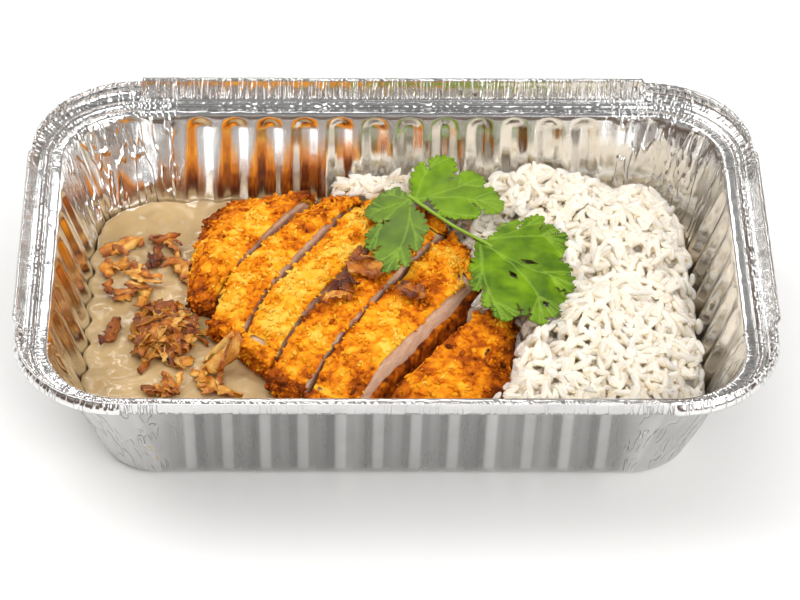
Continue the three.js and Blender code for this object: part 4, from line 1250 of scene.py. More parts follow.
    def _grain_skin(self, laid: Sequence[tuple[Array, float, float, float]]) -> Skin:
        """All the grains as one surface, each with its own size, bend and tone, deeper grains with painted
        bounce light.
        """
        random = np.random.default_rng(self.seed + 1)
        unit, faces = self._grain()
        points, tones_and_gap_light = [], []
        for middle, yaw, slope, depth in laid:
            half = self.grain_length / 2 * random.uniform(0.78, 1.1)
            girth = self.grain_radius * random.uniform(0.84, 1.08)
            tipped = slope + random.normal(0, 0.22)
            forth = np.array([math.cos(yaw), math.sin(yaw), tipped])
            forth /= np.linalg.norm(forth)
            aside = np.cross((0, 0, 1), forth)
            aside /= np.linalg.norm(aside)
            up = np.cross(forth, aside)
            bow = random.uniform(-0.5, 0.5) * (1 - unit[:, :1] ** 2)
            grain = unit[:, :1] * half * forth + unit[:, 1:2] * girth * aside
            points.append(middle + grain + unit[:, 2:] * girth * 0.88 * up + bow * aside)
            # A random tone, plus painted bounce light that grows with the grain's depth
            tone = random.uniform(0, 0.3) ** 1.3 + float(np.clip(depth - 0.3, 0, 3)) * 0.18
            tones_and_gap_light.append(np.full(len(unit), min(tone, 0.9)))
        starts = np.arange(len(laid)) * len(unit)
        spread = [(face[None] + starts[:, None, None]).reshape(-1, face.shape[1]) for face in faces]
        return Skin(np.concatenate(points), spread, {"tone": np.concatenate(tones_and_gap_light)})

    def build(self) -> None:
        """Make the core and the grains."""
        core = fine_skin("rice_heap", 1.6)
        top = eased(core.normals()[:, 2], 0.1, 0.7)
        to_wall, _ = self.tray.room_outside(core.points)
        x, y, heap, goal, _, free = self._ground()
        cells = np.round((core.points[:, :2] - (x[0, 0], y[0, 0])) / self.cell).astype(int)
        cells = tuple(np.clip(cells, 0, np.array(x.shape) - 1).T)
        raised = np.nan_to_num(np.where(free, goal - heap, np.minimum(goal - heap, -1.5)))[cells]
        core.points[:, 2] += top * (0.6 * swell(core.points, 2.6, 50) + raised - self.core_drop)
        core.points[:, 2] -= 2.5 * top * eased(to_wall, 5, 0.5)
        clear, out = self.tray.clearance(core.points)
        kept = 0.7 + 1.6 * eased(core.points[:, 2], 14, 20)
        core.points[:, :2] -= out * np.maximum(kept - clear, 0)[:, None]
        # The core takes the warm colour in full, as painted bounce light in the gaps between grains
        core.marks["tone"] = np.full(len(core.points), 0.9)
        add_piece("rice_core", core, SteamedRice(), ["rice_heap"])
        laid = self._lay()
        add_piece("rice_grains", self._grain_skin(laid), SteamedRice(), ["rice_heap"])


# ---------------------------------------------------------------- chicken


class Crusted(Enum):
    """Which face of a slice is the cutlet's own crusted side."""

    NEITHER = 0
    LEFT = -1
    RIGHT = 1


@dataclass
class CutletSlice:
    """One slice of the breaded cutlet: a ring of crumb coat round its meat."""

    number: int
    crusted: Crusted = Crusted.NEITHER
    toast: float = 0.2  # how brown its top is
    coat_voxel: float = 0.5
    meat_voxel: float = 1.0
    lumps: tuple[tuple[float, float], ...] = ((3.3, 0.8), (1.8, 0.36))
    droop: float = 0.3  # how much thinner the front end is
    shelve: float = 0.1  # how much lower the far side is
    crust_depth: tuple[float, float] = (0.75, 1.2)  # distances from the meat that count as outside
    lower_crust: float = 18.5  # height up to which crumbs cover the cut faces
    crumb_count: int = 620
    crumb_size: tuple[float, float] = (0.4, 1.15)

    def _across(self, points: Array) -> tuple[Array, Array]:
        """Place along the slice and across it, each from -1 to 1 over its coat."""
        coat = skin_of(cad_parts[f"crumb_coat_{self.number}"]).points[:, :2]
        middle = coat.mean(axis=0)
        _, turn = np.linalg.eigh(np.cov((coat - middle).T))
        along, across = turn[:, 1], turn[:, 0]
        along = along * np.sign(along[1])
        across = across * np.sign(across[0])
        pair = []
        for axis in (along, across):
            low, high = ((coat - middle) @ axis).min(), ((coat - middle) @ axis).max()
            pair.append((2 * (points[:, :2] - middle) @ axis - low - high) / (high - low))
        return pair[0], pair[1]

    def _thin_end(self, points: Array) -> Array:
        """Points with the front end drawn down to a thinner edge, and the far side a little lower."""
        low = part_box(f"crumb_coat_{self.number}")[0].z / MM
        along, across = self._across(points)
        thinner = 1 - self.droop * eased(along, -0.45, -1.0) - self.shelve * eased(across, 0.3, -1.0)
        return np.column_stack([points[:, :2], low + (points[:, 2] - low) * thinner])

    def _toast(self, points: Array, outside: Array) -> Array:
        """How brown the coat is at each point, from 0 to 1."""
        along, across = self._across(points)
        height = points[:, 2]
        brown = self.toast + 0.24 * swell(points, 10.0, 70) + 0.14 * swell(points, 4.5, 71)
        brown += 0.26 * eased(abs(along), 0.62, 1.0) + 0.14 * eased(abs(across), 0.5, 0.95)
        brown += 0.12 * eased(height, 28, 24) + 0.4 * eased(height, 22, 16)
        if self.crusted is not Crusted.NEITHER:
            brown += 0.42 * eased(self.crusted.value * across, 0.45, 1.0)
        cut = 0.12 + 0.5 * eased(height, 19.5, 16)
        return np.clip(cut + (brown - cut) * outside, 0, 1)

    def _crumbs(self, skin: Skin, outside: Array, normals: Array) -> Skin:
        """Loose flakes of crumb that stick to the coat."""
        random = np.random.default_rng(80 + self.number)
        weight = outside * (skin.points[:, 2] > 17.5)
        chosen = random.choice(len(skin.points), self.crumb_count, p=weight / weight.sum())
        golden = (1 + 5**0.5) / 2
        corners = np.array(
            [
                point
                for a, b in itertools.product((-1, 1), (-golden, golden))
                for point in ((0, a, b), (a, b, 0), (b, 0, a))
            ]
        ) / math.hypot(1, golden)
        reach = np.linalg.norm(corners[:, None] - corners[None], axis=2)
        near = reach < 1.1
        triples = [
            (a, b, c)
            for a, b, c in itertools.combinations(range(12), 3)
            if near[a, b] and near[b, c] and near[a, c]
        ]
        faces = np.array(
            [t if np.linalg.det(corners[list(t)]) > 0 else (t[0], t[2], t[1]) for t in triples]
        )
        points, toast = [], []
        for place in chosen:
            size = random.uniform(*self.crumb_size)
            lengths = size * np.array([random.uniform(0.9, 1.6), random.uniform(0.6, 1.0), 0.4])
            turn, _ = np.linalg.qr(random.normal(size=(3, 3)))
            flake = corners * lengths * random.uniform(0.75, 1.2, (12, 1))
            points.append(skin.points[place] + normals[place] * size * 0.15 + flake @ turn.T)
            toast.append(np.full(12, skin.marks["toast"][place] + random.normal(-0.04, 0.12)))
        starts = np.arange(self.crumb_count) * 12
        spread = (faces[None] + starts[:, None, None]).reshape(-1, 3)
        return Skin(np.concatenate(points), [spread], {"toast": np.clip(np.concatenate(toast), 0, 1)})

    def build(self) -> None:
        """Make the coat, its crumbs and the meat."""
        coat_node, meat_node = f"crumb_coat_{self.number}", f"chicken_meat_{self.number}"
        coat = fine_skin(coat_node, self.coat_voxel)
        coat.relax(3)
        meat_tree = tree_of([meat_node])
        depth = np.array([meat_tree.find_nearest(Vector(point))[3] for point in coat.points])
        outside = eased(depth, *self.crust_depth)
        rise = -0.3 * np.ones(len(coat.points))
        crevice_shade_and_tone = np.zeros(len(coat.points))
        for step, (size, height) in enumerate(self.lumps):
            away, mark = crumble(coat.points, size, 90 + 10 * step)
            rise += height * (0.35 + 0.8 * mark) * np.clip(1 - 1.1 * away**2, -0.2, 1)
            # Painted shade in the crevices between crumb lumps, and a random tone for each lump
            crevice_shade_and_tone += (0.26 * eased(away, 0.35, 0.9) + 0.28 * (mark - 0.5)) / (step + 1)
        rise += 0.4 * swell(coat.points, 6.0, 92)
        ragged = 0.1 * swell(coat.points, 1.2, 93)
        normals = coat.normals()
        coat.push(outside * rise + (1 - outside) * ragged, normals)
        # The toast mark carries the painted crevice shade too
        coat.marks["toast"] = np.clip(self._toast(coat.points, outside) + outside * (crevice_shade_and_tone - 0.1), 0, 1)
        whole = coat.joined([self._crumbs(coat, outside, normals)])
        whole.points = self._thin_end(whole.points)
        add_piece(f"crumb_crust_{self.number}", whole, FriedCrumb(), [coat_node])
        meat = fine_skin(meat_node, self.meat_voxel)
        meat.relax(2)
        lower = Skin(meat.points.copy(), meat.faces)
        away, mark = crumble(lower.points, 1.8, 96)
        limit = self.lower_crust + 0.9 * swell(lower.points, 5.0, 97)
        below = eased(lower.points[:, 2], limit + 0.6, limit - 0.4)
        lower.push(below * (1.5 + 0.6 * (1 - away) + 0.3 * mark) - 1.0)
        # Painted shade between the crumb lumps, and a random tone for each lump
        lower.marks["toast"] = 0.62 + 0.4 * eased(away, 0.3, 0.9) + 0.4 * (mark - 0.5)
        lower.points = self._thin_end(lower.points)
        add_piece(f"lower_crust_{self.number}", lower, FriedCrumb(), [meat_node])
        fibres = 0.25 * swell(meat.points, (2.2, 2.2, 1.1), 94) + 0.18 * swell(meat.points, 0.9, 95)
        meat.push(fibres)
        meat.points = self._thin_end(meat.points)
        add_piece(f"cut_meat_{self.number}", meat, CutChicken(), [meat_node])


# ---------------------------------------------------------------- fried onion


@dataclass
class Shred:
    """One curled shred of fried onion, from its middle line.

    Attributes:
        line: Points along its middle, one row each.
        across: Direction across it at each of those points.
        width: Its greatest width.
        toast: How brown it is, from 0 to 1.
        curl: How far its edges curl up, in radians.
        turn: How far it twists from one end to the other, in radians.
    """

    line: Array
    across: Array
    width: float
    toast: float
    curl: float = 0.8
    turn: float = 0.0
    thickness: float = 0.34
    rings: int = 26
    sides: int = 12

    def skin(self, seed: int) -> Skin:
        """The shred's surface."""
        random = np.random.default_rng(seed)
        share = np.linspace(0, 1, self.rings)
        known = np.linspace(0, 1, len(self.line))
        line = np.stack([np.interp(share, known, column) for column in self.line.T], axis=1)
        across = np.stack([np.interp(share, known, column) for column in self.across.T], axis=1)
        forth = np.gradient(line, axis=0)
        forth /= np.linalg.norm(forth, axis=1, keepdims=True)
        across -= forth * np.sum(across * forth, axis=1, keepdims=True)
        across /= np.linalg.norm(across, axis=1, keepdims=True)
        up = np.cross(forth, across)
        angle = self.turn * (share - 0.5)[:, None]
        across, up = across * np.cos(angle) + up * np.sin(angle), up * np.cos(angle) - across * np.sin(angle)
        taper = np.sin(math.pi * (0.09 + 0.83 * share)) ** random.uniform(0.2, 0.6)
        turns = np.linspace(0, 2 * math.pi, self.sides, endpoint=False)
        side, rise = np.cos(turns), np.sin(turns)
        left, right = (
            1 + 0.5 * swell(np.column_stack([share * 9, np.full(self.rings, seed + step)]), 1.0, 101)
            for step in (0, 50)
        )
        ragged = np.where(side > 0, right[:, None], left[:, None])
        half = self.width / 2 * taper[:, None] * ragged
        thick = self.thickness / 2 * (0.6 + 0.4 * taper)
        outward = half * np.sin(self.curl * side) / self.curl
        lift = half * (1 - np.cos(self.curl * side)) / self.curl
        points = (
            line[:, None]
            + across[:, None] * outward[..., None]
            + up[:, None] * (thick[:, None] * rise * (1 - 0.6 * side**2) + lift)[..., None]
        )
        flat = points.reshape(-1, 3)
        flat = flat + 0.24 * np.stack([swell(flat, 1.3, 102 + axis) for axis in range(3)], axis=1)
        body = np.arange(self.rings * self.sides).reshape(self.rings, self.sides)
        after = np.roll(body, -1, axis=1)
        quads = np.stack([body[:-1], after[:-1], after[1:], body[1:]], axis=2).reshape(-1, 4)
        ends = np.stack([flat[: self.sides].mean(axis=0), flat[-self.sides :].mean(axis=0)])
        first = np.column_stack([after[0], body[0], np.full(self.sides, len(flat))])
        last = np.column_stack([body[-1], after[-1], np.full(self.sides, len(flat) + 1)])
        edge = np.tile(np.abs(side), self.rings) ** 3
        tips = np.repeat(np.abs(2 * share - 1) ** 3, self.sides)
        streaks = 0.3 * swell(np.column_stack([flat, np.full(len(flat), seed)])[:, [0, 1, 3]], 1.6, 106)
        brown = self.toast + random.choice([-0.1, 0.3]) * edge + 0.25 * tips - 0.08 + streaks
        reach = np.linalg.norm(np.diff(line, axis=0), axis=1).sum()
        apart = np.full(len(flat), seed * 7.3)
        strand = np.column_stack([np.repeat(share * reach, self.sides), (half * side).ravel(), apart])
        marks = {
            "toast": np.concatenate([brown, [self.toast + 0.2] * 2]),
            "strand": np.concatenate([strand, strand[[0, -1]]]),
        }
        return Skin(np.concatenate([flat, ends]), [quads, np.concatenate([first, last])], marks)


@dataclass
class FriedOnion:
    """Shreds of fried onion: single ones over the sauce and chicken, and a heap."""

    toasts: tuple[float, ...] = (
        0.25, 0.35, 0.4, 0.8, 0.3, 0.25, 0.6, 0.65, 0.4, 0.6, 0.3, 0.35, 0.25, 0.45, 0.95, 0.5, 0.7, 0.15,
    )
    strands: tuple[tuple[float, float], ...] = ((1.4, 1.2), (1.0, 0.95), (0.8, 0.7))  # widths and lengths
    heap_shreds: int = 64
    heap_seed: int = 17

    def _fitted(self, node: str, toast: float, seed: int) -> Skin:
        """Curled, split shred that follows a CAD shred's middle line and width."""
        random = np.random.default_rng(seed)
        points = skin_of(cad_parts[node]).points
        middle = points.mean(axis=0)
        _, axes = np.linalg.eigh(np.cov((points - middle).T))
        place = (points - middle) @ axes[:, ::-1]
        share = np.linspace(place[:, 0].min() * 0.97, place[:, 0].max() * 0.97, 12)
        bow = np.polyfit(place[:, 0], place[:, 1], 2)
        aside = np.polyval(bow, share)
        lift = np.polyval(np.polyfit(place[:, 0], place[:, 2], 2), share)
        width = 2 * np.percentile(abs(place[:, 1] - np.polyval(bow, place[:, 0])), 90)
        line = middle + np.stack([share, aside, lift], axis=1) @ axes[:, ::-1].T
        skins = []
        for strand, (wide, reach) in enumerate(self.strands):
            sway = random.uniform(0.15, 0.4) * width
            wave = sway * np.sin(np.linspace(0, random.uniform(2.5, 5), 12) + random.uniform(0, 6))
            swung = np.array(Matrix.Rotation(random.uniform(-0.6, 0.6) * strand, 3, "Z"))
            turned = (line - middle) * reach @ swung
            path = middle + turned + wave[:, None] * axes[:, 1]
            path[:, :2] += strand * random.uniform(-0.5, 0.5, 2) * width
            path[:, 2] += 0.2 + 0.5 * strand + 0.45 * np.cos(np.linspace(0, random.uniform(4, 8), 12))
            across = np.tile(axes[:, 1], (12, 1))
            across[:, 2] += random.uniform(-0.7, 0.7)
            shade = toast + random.uniform(-0.15, 0.2) * strand
            curl, twist = random.uniform(0.5, 1.5), random.uniform(-1.6, 1.6)
            skins.append(Shred(path, across, width * wide, shade, curl, twist).skin(seed + 40 * strand))
        return skins[0].joined(skins[1:])

    def _heap(self) -> Skin:
        """Mound of shreds that point every way."""
        random = np.random.default_rng(self.heap_seed)
        low, high = (np.array(corner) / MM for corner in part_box("fried_onion_heap"))
        middle, half = (low + high) / 2, (high - low) / 2
        skins = []
        for number in range(self.heap_shreds):
            distance, bearing = random.uniform(0, 1) ** 0.6, random.uniform(0, 2 * math.pi)
            spot = middle[:2] + half[:2] * 0.86 * distance * np.array([math.cos(bearing), math.sin(bearing)])
            top = low[2] + (high[2] - low[2] - 0.8) * (1 - distance**2) * random.uniform(0.55, 1.0) + 0.4
            yaw = random.uniform(0, 2 * math.pi)
            length = random.uniform(6.5, 12.5)
            bend = random.uniform(-1.6, 1.6) / length
            share = np.linspace(-0.5, 0.5, 12)
            heading = yaw + bend * length * share * 1.4
            steps = np.stack([np.cos(heading), np.sin(heading)], axis=1) * length / 11
            flat = np.cumsum(steps, axis=0)
            flat += spot - flat.mean(axis=0)
            slope = random.uniform(-0.22, 0.22)
            rise = top + slope * share * length + 0.5 * np.cos(share * random.uniform(4, 9))
            line = np.column_stack([flat, np.maximum(rise, low[2] + 0.2)])
            lean = np.full(12, random.uniform(-0.5, 0.5))
            across = np.column_stack([-np.sin(heading), np.cos(heading), lean])
            toast = float(random.choice([0.15, 0.3, 0.45, 0.65, 0.9], p=[0.24, 0.3, 0.22, 0.14, 0.1]))
            curl, twist = random.uniform(0.5, 1.7), random.uniform(-2.2, 2.2)
            skins.append(Shred(line, across, random.uniform(2.2, 4.6), toast, curl, twist).skin(200 + number))
        return skins[0].joined(skins[1:])

    def build(self) -> None:
        """Make every shred, the heap and the mound under it."""
        for number, toast in enumerate(self.toasts, start=1):
            node = f"fried_onion_{number}"
            shred = self._fitted(node, toast, 110 + number)
            add_piece(f"onion_shred_{number}", shred, CrispOnion(), [node])
        add_piece("onion_heap_shreds", self._heap(), CrispOnion(), ["fried_onion_heap"])
        mound = fine_skin("fried_onion_heap", 0.7)
        mound.relax(6)
        mound.points[:, 2] -= 1.1 * eased(mound.points[:, 2], 18, 20)
        mound.marks["toast"] = 0.7 + 0.3 * swell(mound.points, 2.0, 120)
        mound.marks["strand"] = mound.points.copy()
        add_piece("onion_heap_mound", mound, CrispOnion(), ["fried_onion_heap"])


# ---------------------------------------------------------------- coriander


@dataclass
class Leaflet:
    """One coriander leaflet, from its outline seen from above.

    Attributes:
        stalk: Where its stalk joins it, along X and Y.
        outline: Its edge from the stalk round and back.
        ribs: Ends of its main ribs.
        slits: Narrow gaps between its lobes, each as a pair of ends.
        bloom: How much paler and greyer than fresh green it is, partly a painted sheen, from 0 to 1.
        fresh: How bright its green is, from 0 to 1.
    """

    stalk: tuple[float, float]
    outline: tuple[tuple[float, float], ...]
    ribs: tuple[tuple[float, float], ...]
    slits: tuple[tuple[tuple[float, float], tuple[float, float]], ...] = ()
    bloom: float = 0.2
    fresh: float = 0.5


@dataclass
class CorianderSprig:
    """Sprig of coriander: three toothed leaflets on a thin stem."""

    leaflets: tuple[Leaflet, ...]
    stem: tuple[tuple[float, float, float], ...] = (
        (4.6, 37.2, 34.2), (7.6, 33.6, 34.4), (13.7, 26.6, 34.7), (18.7, 21.4, 34.8), (26.0, 15.6, 34.7),
        (29.4, 12.8, 34.5),
    )
    stem_radius: float = 0.55
    spacing: float = 0.5
    thickness: float = 0.3
    vein_half: float = 0.16
    tooth_pitch: float = 2.5
    tooth: float = 0.9
    tip: tuple[tuple[float, float], ...] = ((0.2, 0.3), (0.5, 0.8), (0.8, 0.35))  # a tooth's shape

    @staticmethod
    def _inside(points: Array, loop: Array) -> Array:
        """Which points lie inside a closed loop."""
        inside = np.zeros(len(points), bool)
        for a, b in zip(loop, np.roll(loop, -1, axis=0)):
            crosses = (a[1] > points[:, 1]) != (b[1] > points[:, 1])
            with np.errstate(divide="ignore", invalid="ignore"):
                x = (b[0] - a[0]) * (points[:, 1] - a[1]) / (b[1] - a[1]) + a[0]
            inside ^= crosses & (points[:, 0] < x)
        return inside

    @staticmethod
    def _rounded(loop: Array, cut: float = 0.2) -> Array:
        """Loop with its corners cut off a little."""
        after = np.roll(loop, -1, axis=0)
        pair = np.stack([loop + cut * (after - loop), after + cut * (loop - after)], axis=1)
        return pair.reshape(-1, 2)

    def _toothed(self, loop: Array, seed: int) -> Array:
        """Outline with small teeth along its edges."""
        random = np.random.default_rng(seed)
        after = np.roll(loop, -1, axis=0)
        area = np.sum(loop[:, 0] * after[:, 1] - after[:, 0] * loop[:, 1])
        made = []
        for here, there in zip(loop, after):
            reach = float(np.linalg.norm(there - here))
            out = np.array([there[1] - here[1], here[0] - there[0]]) / reach * np.sign(area)
            count = max(1, round(reach / self.tooth_pitch))
            for step in range(count):
                start, end = here + (there - here) * step / count, here + (there - here) * (step + 1) / count
                high = self.tooth * random.uniform(0.6, 1.3) * min(1.0, reach / self.tooth_pitch)
                tip = (start + (end - start) * at + out * high * up for at, up in self.tip)
                made += [start - out * high, *tip]
        return np.array(made)

    @staticmethod
    def _spaced(line: Array, gap: float, closed: bool = False) -> Array:
        """Points along a line no further apart than a gap."""
        ends = np.concatenate([line, line[:1]]) if closed else line
        made = []
        for a, b in zip(ends[:-1], ends[1:]):
            count = max(1, round(float(np.linalg.norm(b - a)) / gap))
            made += [a + (b - a) * step / count for step in range(count)]
        return np.array(made if closed else [*made, ends[-1]])

    def _veins(self, leaflet: Leaflet, loop: Array) -> list[Array]:
        """Main ribs of a leaflet and the side veins that run to its teeth."""
        stalk = np.array(leaflet.stalk)
        ribs = []
        for number, end in enumerate(np.array(leaflet.ribs)):
            share = np.linspace(0, 1, 14)[:, None]
            sideways = np.array([stalk[1] - end[1], end[0] - stalk[0]]) * 0.06 * (-1) ** number
            ribs.append(stalk + (end - stalk) * share + sideways * np.sin(math.pi * share))
        before, after = np.roll(loop, 1, axis=0), np.roll(loop, -1, axis=0)
        into, out = loop - before, after - loop
        turn = np.arctan2(into[:, 0] * out[:, 1] - into[:, 1] * out[:, 0], np.sum(into * out, axis=1))
        area = np.sum(loop[:, 0] * after[:, 1] - after[:, 0] * loop[:, 1])
        tips = loop[turn * np.sign(area) > 0.6]
        veins = list(ribs)
        for tip in tips:
            rib = min(ribs, key=lambda line: np.linalg.norm(line - tip, axis=1).min())
            away = np.linalg.norm(rib - tip, axis=1)
            foot = max(1, int(np.argmin(away)) - 3)
            if away.min() > 0.8:
                share = np.linspace(0, 0.92, 9)[:, None]
                veins.append(rib[foot] + (tip - rib[foot]) * share)
        return veins

    def _blade(self, leaflet: Leaflet, seed: int) -> Skin:
        """Thin leaf blade with raised veins and wavy lobes."""
        rough = np.array(leaflet.outline)
        loop = self._spaced(self._rounded(self._toothed(rough, seed), 0.16), 0.4, closed=True)
        holes = []
        for a, b in np.array(leaflet.slits).reshape(-1, 2, 2):
            aside = np.array([a[1] - b[1], b[0] - a[0]]) / np.linalg.norm(b - a) * 1.0
            holes.append(self._spaced(np.array([a, (a + b) / 2 + aside, b, (a + b) / 2 - aside]), 0.6, True))
        veins = self._veins(leaflet, rough)
        low, high = loop.min(axis=0), loop.max(axis=0)
        rows = [
            (x + (row % 2) * self.spacing / 2, y)
            for row, y in enumerate(np.arange(low[1], high[1], self.spacing * 0.87))
            for x in np.arange(low[0], high[0], self.spacing)
        ]
        random = np.random.default_rng(seed)
        grid = np.array(rows) + random.uniform(-0.08, 0.08, (len(rows), 2))
        grid = grid[self._inside(grid, loop)]
        lines = [self._spaced(vein, 0.5) for vein in veins]
        on_vein = np.concatenate(lines)
        on_vein = on_vein[self._inside(on_vein, loop)]
        edge = np.concatenate([loop, *holes])
        on_vein = self._apart(on_vein, edge, 0.3)
        grid = self._apart(self._apart(grid, edge, 0.32), on_vein, 0.3)
        flat = np.concatenate([edge, on_vein, grid])
        loops, start = [], 0
        for ring in [loop, *holes]:
            loops += [(start + i, start + (i + 1) % len(ring)) for i in range(len(ring))]
            start += len(ring)
        placed, _, triangles, *_ = delaunay_2d_cdt([Vector(p) for p in flat], loops, [], 0, 1e-5)
        flat = np.array([tuple(p) for p in placed])
        faces = np.array(triangles)
        centre = flat[faces].mean(axis=1)
        keep = self._inside(centre, loop)
        for hole in holes:
            keep &= ~self._inside(centre, hole)
        faces = faces[keep]
        return self._thick(leaflet, flat, faces, lines, edge, seed)

    @staticmethod
    def _apart(points: Array, others: Array, gap: float) -> Array:
        """The points that are at least a gap from the others."""
        keep = np.ones(len(points), bool)
        for start in range(0, len(points), 500):
            block = points[start : start + 500]
            away = np.linalg.norm(block[:, None] - others[None], axis=2).min(axis=1)
            keep[start : start + 500] = away > gap
        return points[keep]

    def _thick(
        self, leaflet: Leaflet, flat: Array, faces: Array, lines: Sequence[Array], edge: Array, seed: int
    ) -> Skin:
        """Blade with its height, waves, veins and thickness.

        Args:
            leaflet: The leaflet.
            flat: Points of the blade seen from above.
            faces: Its triangles.
            lines: Its veins.
            edge: Points on its edge.
            seed: Number that picks its waves.

        Returns:
            The closed surface.
        """
        used = np.unique(faces)
        renumber = np.full(len(flat), -1)
        renumber[used] = np.arange(len(used))
        flat, faces = flat[used], renumber[faces]
        corners = flat[faces]
        turned = np.cross(corners[:, 1] - corners[:, 0], corners[:, 2] - corners[:, 0]) < 0
        faces[turned] = faces[turned][:, ::-1]
        carrier = skin_of(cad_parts["coriander_sprig"]).points
        away = np.linalg.norm(flat[:, None] - carrier[None, :, :2], axis=2)
        pull = 1 / (away**2 + 1.5) ** 1.5
        height = (pull * carrier[:, 2]).sum(axis=1) / pull.sum(axis=1)
        rib = np.concatenate(lines)
        to_vein = np.array([np.linalg.norm(rib - point, axis=1).min() for point in flat])
        to_edge = np.array([np.linalg.norm(edge - point, axis=1).min() for point in flat])
        place = np.column_stack([flat, np.full(len(flat), seed)])
        height += 0.45 * np.clip(to_vein / 2, 0, 1) ** 1.5 + 0.7 * swell(place, 5.0, 130)
        height += 0.3 * swell(place, 2.6, 131) * np.exp(-to_edge / 1.8)
        vein = np.exp(-((to_vein / self.vein_half) ** 2)) * (0.55 + 0.45 * np.exp(-(to_vein**2)))
        top = np.column_stack([flat, height - 0.12 * vein])
        under = top - (0, 0, self.thickness)
        sides = np.concatenate([faces[:, [0, 1]], faces[:, [1, 2]], faces[:, [2, 0]]])
        known = {tuple(side) for side in sides.tolist()}
        rim = np.array([side for side in sides.tolist() if (side[1], side[0]) not in known])
        count = len(top)
        walls = np.column_stack([rim[:, 1], rim[:, 0], rim[:, 0] + count, rim[:, 1] + count])
        # Paler, greyer patches: partly bloom, partly a painted sheen
        bloom = leaflet.bloom + 0.25 * swell(place, 8.0, 132)
        marks = {
            "vein": np.tile(vein * 0.5, 2),
            "bloom": np.tile(np.clip(bloom, 0, 1), 2),
            "fresh": np.full(2 * count, leaflet.fresh),
        }
        both = np.concatenate([faces, faces[:, ::-1] + count])
        return Skin(np.concatenate([top, under]), [both, walls], marks)

    def _tube(self, path: Array, radius: float) -> Skin:
        """Round stem along a path, a little thicker at its start."""
        share = np.linspace(0, 1, 40)
        line = np.stack([np.interp(share, np.linspace(0, 1, len(path)), column) for column in path.T], axis=1)
        for _ in range(6):
            line[1:-1] = (line[:-2] + 2 * line[1:-1] + line[2:]) / 4
        forth = np.gradient(line, axis=0)
        forth /= np.linalg.norm(forth, axis=1, keepdims=True)
        aside = np.cross(forth, (0, 0, 1.0))
        aside /= np.linalg.norm(aside, axis=1, keepdims=True)
        up = np.cross(aside, forth)
        turns = np.linspace(0, 2 * math.pi, 12, endpoint=False)
        girth = radius * (1.08 - 0.25 * share) * (1 + 0.04 * np.sin(9 * share))
        spokes = np.cos(turns)[None, :, None] * aside[:, None] + np.sin(turns)[None, :, None] * up[:, None]
        points = (line[:, None] + girth[:, None, None] * spokes).reshape(-1, 3)
        body = np.arange(len(points)).reshape(40, 12)
        after = np.roll(body, -1, axis=1)
        quads = np.stack([body[:-1], body[1:], after[1:], after[:-1]], axis=2).reshape(-1, 4)
        caps = np.array([[len(points), body[0, i], after[0, i]] for i in range(12)])
        tail = np.array([[len(points) + 1, after[-1, i], body[-1, i]] for i in range(12)])
        whole = np.concatenate([points, line[:1], line[-1:]])
        even = np.ones(len(whole))
        marks = {"vein": 0.8 * even, "bloom": 0 * even, "fresh": even}
        return Skin(whole, [quads, np.concatenate([caps, tail])], marks)

    def build(self) -> None:
        """Make the leaflets and the stem."""
        for number, leaflet in enumerate(self.leaflets, start=1):
            blade = self._blade(leaflet, 140 + number)
            add_piece(f"coriander_leaf_{number}", blade, FreshLeaf(), ["coriander_sprig"])
        stem = self._tube(np.array(self.stem), self.stem_radius)
        add_piece("coriander_stem", stem, FreshLeaf(), ["coriander_sprig"])


TOP_LEAFLET = Leaflet(
    stalk=(6.9, 35.5),
    outline=(
        (7.5, 34.1), (5.6, 35.6), (5.3, 42.3), (5.4, 45.1), (6.5, 47.6), (7.8, 50.3), (9.0, 52.0), (10.1, 50.8),
        (10.8, 48.1), (11.5, 53.2), (12.7, 54.2), (14.9, 54.9), (16.7, 54.2), (18.0, 53.8), (19.1, 51.5),
        (19.5, 48.3), (18.8, 45.3), (16.9, 42.5), (20.2, 44.3), (21.1, 46.1), (22.1, 46.5), (23.3, 46.5),
        (25.4, 45.3), (26.9, 44.3), (27.9, 42.6), (28.0, 40.7), (25.7, 39.5), (28.6, 40.0), (31.3, 38.3),
        (30.9, 36.0), (32.7, 34.6), (33.3, 32.1), (33.4, 30.7), (32.7, 28.6), (31.0, 27.6), (28.9, 27.2),
        (23.9, 32.7), (26.2, 29.4), (25.8, 26.4), (23.8, 25.2), (22.4, 25.1), (20.1, 26.4), (19.3, 25.4),
        (17.6, 26.1), (16.1, 26.8), (14.6, 27.2), (13.2, 30.4), (11.4, 33.7), (10.7, 35.0),
    ),
    ribs=((13.5, 53.0), (25.5, 43.2), (31.5, 31.5), (22.0, 26.8)),
    bloom=0.15,
    fresh=0.8,
)
